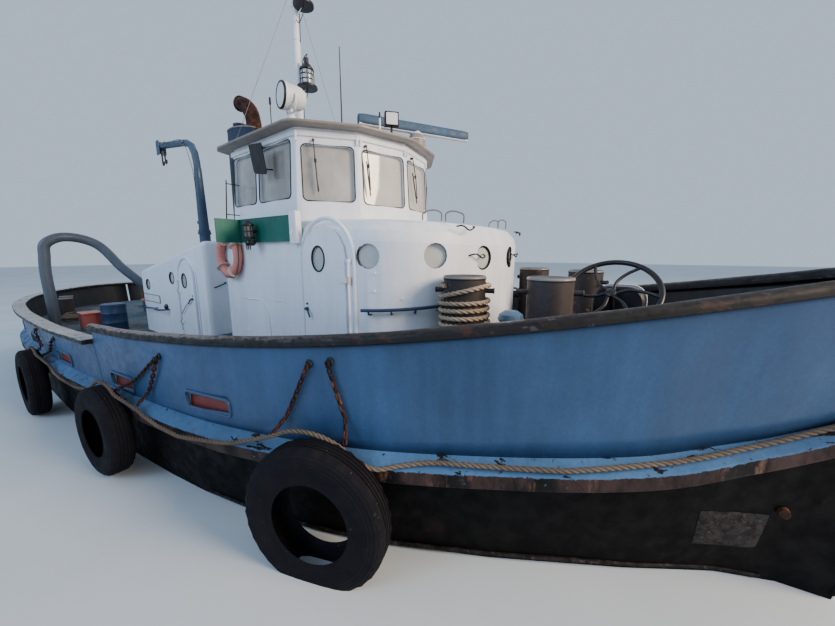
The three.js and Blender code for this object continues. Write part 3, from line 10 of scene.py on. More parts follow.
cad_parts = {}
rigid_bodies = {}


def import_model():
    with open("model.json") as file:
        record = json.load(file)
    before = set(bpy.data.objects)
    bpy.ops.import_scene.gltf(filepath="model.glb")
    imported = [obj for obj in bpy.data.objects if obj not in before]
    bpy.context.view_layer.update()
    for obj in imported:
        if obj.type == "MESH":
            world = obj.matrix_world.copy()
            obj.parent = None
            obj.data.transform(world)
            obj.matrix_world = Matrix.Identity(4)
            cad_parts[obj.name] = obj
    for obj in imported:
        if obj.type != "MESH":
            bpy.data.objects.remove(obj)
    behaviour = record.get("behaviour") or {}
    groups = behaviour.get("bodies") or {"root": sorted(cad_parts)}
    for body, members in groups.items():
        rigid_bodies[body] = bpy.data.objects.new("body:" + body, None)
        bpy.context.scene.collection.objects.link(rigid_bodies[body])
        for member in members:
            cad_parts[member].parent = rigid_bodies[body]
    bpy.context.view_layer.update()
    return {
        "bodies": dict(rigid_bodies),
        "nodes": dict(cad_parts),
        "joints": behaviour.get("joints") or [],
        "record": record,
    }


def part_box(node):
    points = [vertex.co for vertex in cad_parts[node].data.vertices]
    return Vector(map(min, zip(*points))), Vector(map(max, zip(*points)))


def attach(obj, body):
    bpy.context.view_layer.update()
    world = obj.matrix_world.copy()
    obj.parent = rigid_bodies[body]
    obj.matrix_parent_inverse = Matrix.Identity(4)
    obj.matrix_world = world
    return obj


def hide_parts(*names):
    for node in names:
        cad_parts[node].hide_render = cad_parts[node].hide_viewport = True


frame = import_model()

bl_info = {"name": "Harbour tug", "version": (1, 0, 0), "blender": (4, 5, 0),
           "location": "3D View > Sidebar > Tug",
           "description": "Finishes, fittings and stage of a small harbour tug, built round its solid frame",
           "category": "Add Mesh",}

HULL_BODY = "tug"
SIDES = (("stbd", -1), ("port", 1))
UP = array([0.0, 0.0, 1.0])

# Hull lines in metres, one row a station: X, rail half breadth, rail height, deck height,
# belt foot height, half breadth at the belt
STATION, RAIL_Y, RAIL_Z, DECK_Z, BELT_Z, BELT_Y = range(6)
LINES = array([(-8.5, 0.02, 1.62, 1.06, 0.8, 0.02), (-8.38, 0.76, 1.61, 1.055, 0.796, 0.7),
               (-8.0, 1.42, 1.59, 1.045, 0.786, 1.35), (-7.3, 2.08, 1.56, 1.03, 0.77, 2.01),
               (-6.3, 2.56, 1.52, 1.01, 0.752, 2.5), (-5.0, 2.81, 1.49, 0.99, 0.738, 2.76),
               (-3.4, 2.88, 1.475, 0.975, 0.732, 2.835), (-1.6, 2.86, 1.485, 0.97, 0.732, 2.815),
               (0.5, 2.7, 1.5, 0.97, 0.735, 2.65), (2.5, 2.48, 1.79, 1.05, 0.745, 2.42),
               (3.5, 2.28, 1.868, 1.12, 0.765, 2.205), (4.5, 1.975, 1.968, 1.22, 0.8, 1.88),
               (5.5, 1.535, 2.098, 1.36, 0.852, 1.41), (6.5, 1.03, 2.262, 1.52, 0.94, 0.87),
               (7.3, 0.62, 2.418, 1.665, 1.13, 0.42), (7.9, 0.33, 2.546, 1.79, 1.35, 0.16),
               (8.5, 0.024, 2.685, 1.91, 1.62, 0.024),])
# Top of the bulwark forward of its step: X, height
FORE_TOP = array([(0.48, 1.688), (1.5, 1.725), (2.5, 1.79), (3.5, 1.868), (4.5, 1.968), (5.5, 2.098),
                  (6.5, 2.262), (7.5, 2.457), (8.5, 2.685)])
STEP_X, SHEER_STRIP, PLATE = 0.48, 0.228, 0.018
RAIL_WIDTH, RAIL_HEIGHT, AFT_RAIL_WIDTH = 0.13, 0.095, 0.21
# Belt: how far its face stands out, height of the ledge over the face
BELT_OUT, LEDGE_HIGH = 0.13, 0.085
# Freeing ports: X of the middle, length
PORTS = ((2.9, 0.62), (1.15, 0.56), (-0.9, 0.62), (-3.0, 0.62), (-5.2, 0.62))
PORT_LOW, PORT_HIGH = 0.045, 0.195
# Deckhouse and wheelhouse
HOUSE_HALF, HOUSE_STRAIGHT, HOUSE_FRONT = 1.42, 4.05, 4.95
WHEEL_PLAN = array([(1.4, -1.2), (3.03, -1.28), (3.48, -0.7), (3.645, 0), (3.48, 0.7), (3.03, 1.28),
                    (1.4, 1.2)])
WHEEL_BASE, WHEEL_TOP, WHEEL_LEAN = 3.125, 4.075, 0.045
# Windows: wall, share of the wall where it starts and ends, foot, head
WINDOWS = ((0, 0.075, 0.44, 3.32, 3.95), (0, 0.49, 0.93, 3.32, 3.96), (1, 0.11, 0.91, 3.285, 3.9),
           (2, 0.07, 0.93, 3.27, 3.89), (3, 0.07, 0.93, 3.27, 3.89), (4, 0.09, 0.89, 3.285, 3.9),
           (5, 0.07, 0.51, 3.32, 3.96), (5, 0.56, 0.925, 3.32, 3.95), (6, 0.12, 0.44, 3.32, 3.9),
           (6, 0.56, 0.88, 3.32, 3.9))
# Portholes of the deckhouse front: X, half breadth, bearing in degrees, height, radius
FRONT_LIGHTS = ((4.235, 1.37, 72, 2.66, 0.12), (4.705, 0.965, 42, 2.665, 0.122),
                (4.925, 0.37, 14, 2.64, 0.115))
# Portholes of the casing sides: X, height, radius
CASING_LIGHTS = ((-1.18, 2.21, 0.105), (-2.48, 2.02, 0.105))
CASING_HALF, CASING_FORE = 1.15, 0.25
# Doors: name, which is also the stem of their bodies' names, edges along X, sill, head, wall half breadth,
# hinge X
DOORS = (("deckhouse", 3.32, 3.98, 1.33, 2.96, HOUSE_HALF, 4.04),
         ("casing", -0.76, -0.16, 1.15, 2.52, CASING_HALF, -0.82))
# Tyre fenders: name, X, height, diameter, width
TYRES = (("tyre_1", 4.27, 0.52, 1.31, 0.28), ("tyre_2", 1.12, 0.56, 1.1, 0.27),
         ("tyre_3", -1.9, 0.56, 1.1, 0.27))


def tint(red, green, blue):
    """Linear colour of a screen colour: each channel over 255, decoded with the usual 2.4 power curve."""
    c = array([red, green, blue]) / 255
    return tuple(np.where(c <= 0.04045, c / 12.92, ((c + 0.055) / 1.055) ** 2.4).tolist())


def linear(colour):
    """A colour property as it is, or a screen colour decoded."""
    return tuple(colour) if max(colour) <= 1 else tint(*colour)


def toned(colour, share):
    return tuple(share * v for v in colour)


def swatch(name, about, rgb):
    return FloatVectorProperty(name=name, description=about, subtype="COLOR", size=3, min=0, max=1,
                               default=tint(*rgb))


def length(name, about, metres):
    return FloatProperty(name=name, description=about, unit="LENGTH", min=0, default=metres)


class TugColours(bpy.types.PropertyGroup):
    """Colours of the tug's paints and materials"""
    blue: swatch("Hull blue", "Paint of the bulwark and the sides", (47, 79, 116))
    ledge: swatch("Ledge blue", "Paint of the belt's sloping top", (66, 102, 138))
    gear_blue: swatch("Gear blue", "Paint of the davit and vent", (50, 72, 92))
    white: swatch("House white", "Paint of the houses", (224, 231, 240))
    # Roof paint: darker than the house paint, partly a painted shade as under the brim
    roof_shaded: swatch("Roof edge", "Paint of the wheelhouse roof", (134, 126, 118))
    # Rails: their grey tops are partly worn paint and partly painted light on faces that look up
    rail: swatch("Rail grey", "Worn top of the rail", (104, 98, 97))
    aft_rail: swatch("Aft rail grey", "Paint of the low after rail", (150, 152, 150))
    black: swatch("Hull black", "Paint below the belt", (7, 7, 9))
    rust: swatch("Rust", "Rust on bare steel", (96, 52, 34))
    rust_light: swatch("Light rust", "Fresh rust and stains", (150, 92, 60))
    rubber: swatch("Rubber", "Tyre fenders and gaskets", (21, 21, 26))
    rope: swatch("Rope", "Old laid rope", (108, 96, 84))
    steel: swatch("Bare steel", "Worn edges of metal", (120, 118, 116))
    green: swatch("Starboard green", "Side light board to starboard", (12, 94, 82))
    red: swatch("Port red", "Side light board to port", (140, 26, 24))
    orange: swatch("Lifebuoy", "Cover of the lifebuoy", (216, 138, 126))
    # Window glass: pale grey, partly a painted reflection of the sky
    glass: swatch("Glass", "Windows and portholes", (150, 147, 142))
    hatch: swatch("Hatch red", "Stores hatch and port flaps", (176, 92, 84))
    navy: swatch("Navy", "Funnel and radar scanner", (24, 44, 70))


class TugSizes(bpy.types.PropertyGroup):
    """Sizes of the fittings"""
    rope: length("Side rope", "Radius of the rope along the side", 0.022)
    chain_wire: length("Chain wire", "Radius of the wire of a chain link", 0.009)
    link: length("Chain link", "Length of a chain link outside", 0.074)
    handrail: length("Handrail", "Radius of a handrail", 0.016)
    gasket: length("Gasket", "Width of a window gasket", 0.013)
    stay: length("Stay wire", "Radius of a mast stay", 0.003)


def sizes():
    return bpy.context.scene.tug_sizes


def unit(v):
    return v / np.maximum(np.linalg.norm(v, axis=-1, keepdims=True), 1e-9)


def reading(knots, values, x):
    """Monotone cubic through the knots: a knot's slope is the weighted harmonic mean of the slopes beside it,
    and zero where they differ in sign."""
    h = np.diff(knots)
    d = np.diff(values) / h
    before, after = 2 * h[1:] + h[:-1], h[1:] + 2 * h[:-1]
    with np.errstate(all="ignore"):
        inner = np.where(d[:-1] * d[1:] > 0, (before + after) / (before / d[:-1] + after / d[1:]), 0)
    m = concatenate([d[:1], inner, d[-1:]])
    x = np.clip(x, knots[0], knots[-1])
    i = np.clip(np.searchsorted(knots, x, side="right") - 1, 0, len(h) - 1)
    t = (x - knots[i]) / h[i]
    start, end = (2 * t**3 - 3 * t**2 + 1) * values[i], (3 * t**2 - 2 * t**3) * values[i + 1]
    return start + (t**3 - 2 * t**2 + t) * h[i] * m[i] + end + (t**3 - t**2) * h[i] * m[i + 1]


def bearing(a):
    """Level unit vector at an angle from straight ahead, towards port."""
    return array([cos(a), sin(a), 0])


def line(column, x):
    """One column of the hull lines read at X."""
    return reading(LINES[:, STATION], LINES[:, column], np.asarray(x, float))


def fore_top(x):
    return reading(FORE_TOP[:, 0], FORE_TOP[:, 1], np.asarray(x, float))


def aft_top(x):
    return reading(LINES[:9, STATION], LINES[:9, RAIL_Z], np.asarray(x, float))


def raked(x, z):
    """X with the ends' rake: the lower a point lies, the further it moves in from the end, by the square of
    how near the end its station is."""
    fore, aft = np.maximum(0, (x - 6.0) / 2.5), np.maximum(0, (-6.5 - x) / 2.0)
    return x - fore**2 * np.maximum(0, 2.685 - z) * 0.245 + aft**2 * np.maximum(0, 1.62 - z) * 0.16


def deck_half(x):
    """Half breadth at the deck: between the belt's and the rail's, by height."""
    belt = line(BELT_Z, x)
    rise = (line(DECK_Z, x) - belt) / np.maximum(0.2, line(RAIL_Z, x) - belt) * 0.8
    return line(BELT_Y, x) + (line(RAIL_Y, x) - line(BELT_Y, x)) * rise


def side_half(x, z):
    """Half breadth of the plating at X and height Z, straight from the belt to the deck and on to the
    rail."""
    foot, deck, top = line(BELT_Z, x) + SHEER_STRIP, line(DECK_Z, x), line(RAIL_Z, x)
    low = line(BELT_Y, x) + (deck_half(x) - line(BELT_Y, x)) * np.clip((z - foot) / (deck - foot), 0, 1)
    return low + (line(RAIL_Y, x) - deck_half(x)) * np.clip((z - deck) / (top - deck), 0, 1)


def grid(points, wrap_u=False, wrap_v=False, caps=False):
    """Quads over a grid of points [u, v], joined round either way, its two end rings filled if caps is true.
    The band of a point is its share of the way along v."""
    m, n = points.shape[:2]
    index = np.arange(m * n).reshape(m, n)
    around = np.vstack([index, index[:1]]) if wrap_u else index
    around = np.hstack([around, around[:, :1]]) if wrap_v else around
    quads = stack([around[:-1, :-1], around[1:, :-1], around[1:, 1:], around[:-1, 1:]], axis=-1)
    faces = [quads.reshape(-1, 4)]
    if caps:
        faces += [index[:1, ::-1], index[-1:]]
    return points.reshape(-1, 3), faces, np.tile(linspace(0, 1, n), m)


def join(parts):
    """One surface from several: points in one list, face numbers shifted to match."""
    shift, faces = 0, []
    for points, part_faces, _ in parts:
        faces += [f + shift for f in part_faces]
        shift += len(points)
    return concatenate([p[0] for p in parts]), faces, concatenate([p[2] for p in parts])


def outward(part):
    """The same closed surface with its faces turned out: its signed volume, summed over fans of triangles
    from each face's first corner, is made positive."""
    points, faces, band = part
    local = points - points.mean(axis=0)
    volume = 0.0
    for f in faces:
        first, second, third = local[f[:, :1]], local[f[:, 1:-1]], local[f[:, 2:]]
        volume += (first * cross(second, third)).sum()
    return (points, [f[:, ::-1] for f in faces], band) if volume < 0 else part


def mirrored(part):
    """The same surface on the other side of the centreline."""
    points, faces, band = part
    return points * array([1, -1, 1]), [f[:, ::-1] for f in faces], band


def circle(radius, sides=12):
    a = np.arange(sides) / sides * 2 * pi
    return stack([cos(a), sin(a)], axis=-1) * radius


def rounded(width, height, radius, steps=6):
    """Rectangle round the origin with quarter-circle corners."""
    a = linspace(0, pi / 2, steps + 1)
    arc = stack([cos(a), sin(a)], axis=-1) * radius
    turn = array([[0, 1], [-1, 0]])
    corner = array([(1, 1), (-1, 1), (-1, -1), (1, -1)]) * (width / 2 - radius, height / 2 - radius)
    return concatenate([arc @ np.linalg.matrix_power(turn, k) + corner[k] for k in range(4)])


def curve(points, count=24):
    """Smooth curve through points: cubic pieces, each point's slope that of its neighbours' chord."""
    p = array(points, float)
    t = concatenate([[0], np.cumsum(np.linalg.norm(np.diff(p, axis=0), axis=1))])
    slope = np.gradient(p, t, axis=0) if len(p) > 2 else np.repeat(np.diff(p, axis=0) / t[1], 2, axis=0)
    s = linspace(t[0], t[-1], count)
    i = np.clip(np.searchsorted(t, s, side="right") - 1, 0, len(t) - 2)
    h = (t[i + 1] - t[i])[:, None]
    u = (s - t[i])[:, None] / h
    return ((2 * u**3 - 3 * u**2 + 1) * p[i] + (u**3 - 2 * u**2 + u) * h * slope[i] + (3 * u**2 - 2 * u**3)
            * p[i + 1] + (u**3 - u**2) * h * slope[i + 1])


def even(path, step):
    """The same path with its points a fixed step apart along it."""
    s = concatenate([[0], np.cumsum(np.linalg.norm(np.diff(path, axis=0), axis=1))])
    at = linspace(0, s[-1], max(2, int(round(s[-1] / step)) + 1))
    return stack([np.interp(at, s, path[:, k]) for k in range(3)], axis=-1)


def frames(path, closed=False, up=None):
    """Two unit normals at each point of a path: one square to the path and to up, or to the direction in
    which the path turns least, and one square to both."""
    t = np.roll(path, -1, axis=0) - np.roll(path, 1, axis=0) if closed else np.gradient(path, axis=0)
    t = unit(t)
    flat = np.linalg.svd(t, full_matrices=True)[2][-1] if up is None else np.asarray(up, float)
    side = unit(cross(flat, t))
    return side, cross(t, side)


def swept(path, section, closed=False, up=None):
    """A section (a, b) carried along a path, a along its side normal and b along the other."""
    side, over = frames(path, closed, up)
    points = path[:, None] + side[:, None] * section[..., :1] + over[:, None] * section[..., 1:]
    return grid(points, wrap_u=closed, wrap_v=True, caps=not closed)


def tube(points, radius, count=24, sides=12):
    """Round tube on the smooth curve through points."""
    return swept(curve(points, count), circle(radius, sides))


def bar(a, b, radius, end_radius=None, sides=20):
    """Round bar from a to b, its radius changing evenly to the end radius."""
    path = array([a, b], float)
    grow = array([1, (end_radius or radius) / radius])[:, None, None]
    return swept(path, circle(radius, sides)[None] * grow)


def post(x, y, foot, top, radius, end_radius=None, sides=20):
    """Upright round bar."""
    return bar((x, y, foot), (x, y, top), radius, end_radius, sides)


def turned(profile, centre, axis=(0, 0, 1), sides=48, closed=False):
    """A profile of (radius, height) turned round an axis through centre. A closed profile makes a ring."""
    axis = unit(np.asarray(axis, float))
    side, over = (v[0] for v in frames(array([np.zeros(3), axis])))
    a = np.arange(sides) / sides * 2 * pi
    spoke = side * cos(a)[:, None] + over * sin(a)[:, None]
    profile = array(profile, float)
    points = np.asarray(centre, float) + axis * profile[:, None, 1:] + spoke * profile[:, None, :1]
    return grid(points, wrap_u=closed, wrap_v=True, caps=not closed)


def ring(centre, axis, radius, thick, sides=48, around=12):
    """Torus round an axis."""
    return turned(circle(thick, around) + (radius, 0), centre, axis, sides, closed=True)


def plate(outline, thickness, origin, along, across, bevel=0.002):
    """A flat outline given thickness, its two faces drawn in by the bevel. The outline's first coordinate
    runs along, its second across, and the thickness goes off from the origin square to both."""
    outline = np.asarray(outline, float)
    edge = unit(np.roll(outline, -1, axis=0) - np.roll(outline, 1, axis=0))
    area = cross(outline, np.roll(outline, -1, axis=0)).sum()
    inward = stack([-edge[:, 1], edge[:, 0]], axis=-1) * np.sign(area)
    along, across = unit(np.asarray(along, float)), unit(np.asarray(across, float))
    off = cross(along, across)
    rows = ((bevel, 0), (0, bevel), (0, thickness - bevel), (bevel, thickness))
    layers = [(outline + inward * draw) @ stack([along, across]) + off * rise for draw, rise in rows]
    return grid(np.asarray(origin, float) + array(layers), wrap_v=True, caps=True)


def block(low, high, bevel=0.003):
    """Box between two corners with bevelled top and foot edges and rounded upright ones."""
    low, high = np.asarray(low, float), np.asarray(high, float)
    wide, deep, tall = high - low
    base = ((low[0] + high[0]) / 2, (low[1] + high[1]) / 2, low[2])
    return plate(rounded(wide, deep, min(wide, deep) * 0.08, 2), tall, base, (1, 0, 0), (0, 1, 0), bevel)


def laid_rope(path, radius, strands=3, sides=8):
    """Twisted rope: each strand's middle circles the path at the rest of the radius, the strands evenly
    apart, one turn in seven radii."""
    pitch = 7 * radius
    path = even(path, pitch / 9)
    side, over = frames(path)
    travelled = np.arange(len(path)) * np.linalg.norm(path[1] - path[0])
    thick = radius * 0.54
    rings = circle(thick, sides)
    parts = []
    for k in range(strands):
        a = 2 * pi * (travelled / pitch + k / strands)
        middle = path + (side * cos(a)[:, None] + over * sin(a)[:, None]) * (radius - thick)
        parts.append(grid(middle[:, None] + side[:, None] * rings[:, :1] + over[:, None] * rings[:, 1:],
                          wrap_v=True, caps=True))
    return join(parts)


def chain(path, wire, link, width):
    """Links on a path: a round wire on a slot-shaped loop, each link turned a quarter from the last."""
    path = even(path, link - 2.2 * wire)
    t = unit(np.gradient(path, axis=0))
    side, over = frames(path)
    odd = (np.arange(len(path)) % 2)[:, None]
    a = np.where(odd, side, over)
    b = cross(t, a)
    phi, psi = (np.arange(n) / n * 2 * pi for n in (18, 7))
    round_end, straight = width / 2 - wire, link / 2 - width / 2
    loop = stack([cos(phi) * round_end + np.sign(cos(phi)) * straight, sin(phi) * round_end], axis=-1)
    out = stack([cos(phi), sin(phi)], axis=-1)
    flat = loop[:, None] + out[:, None] * cos(psi)[:, None] * wire
    rise = sin(psi) * wire * np.ones((len(phi), 1))
    points = (path[:, None, None] + t[:, None, None] * flat[..., :1] + a[:, None, None] * flat[..., 1:]
              + b[:, None, None] * rise[..., None])
    return join([grid(p, wrap_u=True, wrap_v=True) for p in points])


def add(name, parts, finish, body=HULL_BODY, replaces=None, sharp=38, lining=None, closed=True):
    """A finished piece from surfaces, each turned out if it is closed: it rides on its body, and edges that
    turn more than sharp degrees stay sharp."""
    points, faces, band = join([outward(p) for p in parts] if closed else parts)
    mesh = bpy.data.meshes.new(name)
    counts = concatenate([np.full(len(f), f.shape[1]) for f in faces])
    corners = concatenate([f.ravel() for f in faces])
    mesh.vertices.add(len(points))
    mesh.vertices.foreach_set("co", points.ravel())
    mesh.loops.add(len(corners))
    mesh.loops.foreach_set("vertex_index", corners.astype(np.int32))
    mesh.polygons.add(len(counts))
    mesh.polygons.foreach_set("loop_start", (np.cumsum(counts) - counts).astype(np.int32))
    mesh.polygons.foreach_set("use_smooth", np.ones(len(counts), bool))
    mesh.update(calc_edges=True)
    mesh.validate()
    mesh.attributes.new("band", "FLOAT", "POINT").data.foreach_set("value", band.astype(np.float32))
    mesh.set_sharp_from_angle(angle=radians(sharp))
    for paint in (finish, lining) if lining else (finish,):
        mesh.materials.append(finish_named(paint))
    piece = bpy.data.objects.new(name, mesh)
    bpy.context.scene.collection.objects.link(piece)
    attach(piece, body)
    if replaces:
        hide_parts(replaces)
    return piece


def to_side(sign, parts):
    """Starboard surfaces as they are, or their mirror images for port."""
    return parts if sign < 0 else [mirrored(p) for p in parts]


def both(parts):
    """Starboard surfaces and their mirror images."""
    return parts + to_side(1, parts)


class Finish:
    """A material being built: textures, masks and mixes are added as linked shader nodes."""

    def __init__(self, name, metal=0.0, gloss=0.35):
        self.material = bpy.data.materials.new(f"tug_{name}")
        self.material.use_nodes = True
        self.nodes, self.links = self.material.node_tree.nodes, self.material.node_tree.links
        self.shader = self.nodes["Principled BSDF"]
        self.shader.inputs["Metallic"].default_value = metal
        self.shader.inputs["Specular IOR Level"].default_value = gloss
        self.place = self.nodes.new("ShaderNodeTexCoord").outputs["Object"]
        self.height = []

    def put(self, socket, value):
        if isinstance(value, bpy.types.NodeSocket):
            self.links.new(value, socket)
        elif socket.type == "RGBA" and len(value) == 3:
            socket.default_value = (*value, 1)
        else:
            socket.default_value = value

    def node(self, kind, **inputs):
        node = self.nodes.new("ShaderNode" + kind)
        for name, value in inputs.items():
            self.put(node.inputs[name.replace("_", " ")], value)
        return node

    def math(self, work, a, b=0.0):
        node = self.nodes.new("ShaderNodeMath")
        node.operation = work
        self.put(node.inputs[0], a)
        self.put(node.inputs[1], b)
        return node.outputs[0]

    def noise(self, scale, detail=4.0, rough=0.55, stretch=(1, 1, 1), shift=(0, 0, 0), twist=0.0):
        """Fractal noise from 0 to 1, its grain stretched by axis."""
        at = self.node("Mapping", Vector=self.place, Scale=stretch, Location=shift).outputs[0]
        return self.node("TexNoise", Vector=at, Scale=scale, Detail=detail, Roughness=rough,
                         Distortion=twist).outputs[0]

    def cells(self, scale):
        at = self.node("Mapping", Vector=self.place).outputs[0]
        return self.node("TexVoronoi", Vector=at, Scale=scale).outputs[0]

    def share(self, value, low, high, to_low=0.0, to_high=1.0):
        """The value carried from low..high to 0..1, or to another span, with soft ends."""
        node = self.node("MapRange", Value=value)
        node.interpolation_type = "SMOOTHSTEP"
        for k, v in zip((1, 2, 3, 4), (low, high, to_low, to_high)):
            node.inputs[k].default_value = v
        return node.outputs[0]

    def mix(self, share, a, b, way="MIX"):
        node = self.nodes.new("ShaderNodeMix")
        node.data_type, node.blend_type = "RGBA", way
        self.put(node.inputs[0], share)
        self.put(node.inputs[6], a)
        self.put(node.inputs[7], b)
        return node.outputs[2]

    def axis(self, which, source=None):
        return self.node("SeparateXYZ", Vector=source or self.place).outputs[which]

    def upward(self):
        """How far a face looks up: the true normal's height."""
        return self.axis(2, self.nodes.new("ShaderNodeNewGeometry").outputs["Normal"])

    def band(self):
        node = self.nodes.new("ShaderNodeAttribute")
        node.attribute_name = "band"
        return node.outputs["Fac"]

    def raise_by(self, value, metres):
        """Adds a height to the relief, in metres."""
        self.height.append((value, metres))

    def done(self, colour, rough):
        self.put(self.shader.inputs["Base Color"], colour)
        self.put(self.shader.inputs["Roughness"], rough)
        normal = None
        for value, metres in self.height:
            bump = self.node("Bump", Height=value, Distance=metres, Strength=1.0)
            if normal:
                self.links.new(normal, bump.inputs["Normal"])
            normal = bump.outputs[0]
        if normal:
            self.links.new(normal, self.shader.inputs["Normal"])
        return self.material


def weathered(f, colour, tone, streak):
    """Paint that has faded in broad patches and run in upright streaks: the colour times a slow noise, and
    times a noise drawn out along Z."""
    patches = f.share(f.noise(0.9, 3, 0.5, shift=(0, 3, 1)), 0.3, 0.7, 1 - tone, 1 + tone)
    runs = f.share(f.noise(7, 5, 0.6, (1, 1, 0.09)), 0.32, 0.72, 1 - streak, 1 + streak * 0.6)
    fine = f.share(f.noise(34, 4, 0.6, shift=(0, 0, 2)), 0.3, 0.7, 1 - tone * 0.35, 1 + tone * 0.35)
    factor = f.math("MULTIPLY", f.math("MULTIPLY", patches, runs), fine)
    level = f.node("CombineXYZ", X=factor, Y=factor, Z=factor).outputs[0]
    return f.mix(1.0, colour, level, "MULTIPLY")


def painted(name, colour, undercoat, rust, wear, streak, grime=0.0, tone=0.16, dents=0.0, gloss=0.42,
            chips=11.0):
    """Old paint on steel: weathered colour, chips down to an undercoat with rust in their hearts, broad
    patches of dirt, shallow dents, and a skin that is rougher where it is chipped. Wear, streak, grime and
    tone are shares."""
    f = Finish(name)
    colour, undercoat, rust = map(linear, (colour, undercoat, rust))
    base = weathered(f, colour, tone, streak)
    if grime:
        dirt = f.share(f.noise(1.7, 6, 0.68, (1, 1, 0.45), (0, 5, 0)), 0.46, 0.78, 0, grime)
        base = f.mix(dirt, base, tuple(0.42 * c + 0.03 for c in colour))
    flakes = f.noise(chips, 9, 0.66, shift=(0, 1, 4), twist=0.25)
    where = f.share(f.noise(1.3, 3, 0.5, shift=(0, 2, 0)), 0.35, 0.75, -0.05, 0.05)
    patchy = f.math("ADD", flakes, where)
    edge = 0.74 - 0.16 * wear
    bare = f.share(patchy, edge, edge + 0.015)
    hearts = f.share(patchy, edge + 0.03, edge + 0.06)
    runs = f.share(f.noise(5, 6, 0.62, (1, 1, 0.05), (0, 8, 0)), 0.7 - 0.08 * wear, 0.84, 0, 0.45 * wear)
    base = f.mix(runs, base, rust)
    base = f.mix(bare, base, undercoat)
    base = f.mix(hearts, base, rust)
    f.raise_by(f.math("MULTIPLY", bare, -1.0), 0.0012)
    f.raise_by(f.noise(60.0, 3, 0.5), 0.0003)
    if dents:
        f.raise_by(f.noise(1.1, 2, 0.4, shift=(0, 0, 6)), dents)
    rough = f.math("ADD", f.share(f.noise(9.0, 4), 0.3, 0.7, gloss - 0.08, gloss + 0.1),
                   f.math("MULTIPLY", bare, 0.3))
    return f.done(base, rough)


def rusted(name, rust, light, dark, seed=0.0, scale=7.0):
    """Bare rusted steel: three browns mixed by two noises, pitted."""
    f = Finish(name, metal=0.15, gloss=0.2)
    rust, light, dark = map(linear, (rust, light, dark))
    base = f.mix(f.share(f.noise(scale, 8, 0.66, shift=(seed, 0, 0)), 0.36, 0.64), dark, rust)
    base = f.mix(f.share(f.noise(scale * 2.3, 7, 0.7, shift=(seed, 4, 0)), 0.52, 0.72, 0, 0.8), base, light)
    f.raise_by(f.noise(45.0, 4, 0.55), 0.0009)
    return f.done(base, f.share(f.noise(12.0, 4), 0.3, 0.7, 0.62, 0.92))


def worn_rubber(name, colour, brown):
    """Tyre rubber bleached by weather: rings round the axle from the band, pale scuffs, and a few torn
    spots where brown cords show."""
    f = Finish(name, gloss=0.1)
    colour, brown = linear(colour), linear(brown)
    dust = f.share(f.noise(4.5, 7, 0.62), 0.42, 0.74, 0, 0.3)
    base = f.mix(dust, colour, (0.018, 0.017, 0.018))
    scuff = f.share(f.noise(21.0, 9, 0.7, twist=0.8), 0.655, 0.7, 0, 0.55)
    base = f.mix(scuff, base, (0.16, 0.16, 0.16))
    torn = f.share(f.noise(3.4, 8, 0.7, shift=(7, 0, 3)), 0.7, 0.735, 0, 0.85)
    base = f.mix(torn, base, brown)
    rings = f.math("SINE", f.math("MULTIPLY", f.band(), 210.0))
    f.raise_by(rings, 0.0012)
    f.raise_by(f.noise(18.0, 3, 0.5), 0.0012)
    return f.done(base, f.share(f.noise(8.0, 4), 0.3, 0.7, 0.72, 0.92))


def old_rope(name, colour):
    """Laid fibre: fine threads by a noise drawn out along the rope, dark between them, and dirty patches."""
    f = Finish(name, gloss=0.12)
    colour = linear(colour)
    base = weathered(f, colour, 0.3, 0.0)
    fibre = f.share(f.noise(420.0, 3, 0.7), 0.35, 0.65, 0.55, 1.15)
    level = f.node("CombineXYZ", X=fibre, Y=fibre, Z=fibre).outputs[0]
    base = f.mix(1.0, base, level, "MULTIPLY")
    base = f.mix(f.share(f.noise(3.0, 6, 0.7), 0.5, 0.72, 0, 0.6), base, toned(colour, 0.35))
    f.raise_by(f.noise(300.0, 2, 0.5), 0.0004)
    return f.done(base, f.share(f.noise(15.0, 3), 0.3, 0.7, 0.82, 0.98))


def belt_height(f):
    """Height of the belt's foot over the length of the hull, as a curve of X from -8.5 to 8.5."""
    node = f.nodes.new("ShaderNodeFloatCurve")
    x = linspace(-8.5, 8.5, 18)
    knots = node.mapping.curves[0].points
    rows = list(zip((x + 8.5) / 17, line(BELT_Z, np.clip(x + 0.05 * np.maximum(0, x - 6), -8.5, 8.5)) / 2))
    knots[0].location, knots[1].location = rows[0], rows[-1]
    for at, z in rows[1:-1]:
        knots.new(at, z)
    node.mapping.update()
    share = f.math("DIVIDE", f.math("ADD", f.axis(0), 8.5), 17.0)
    f.put(node.inputs["Value"], share)
    return f.math("MULTIPLY", node.outputs[0], 2.0)


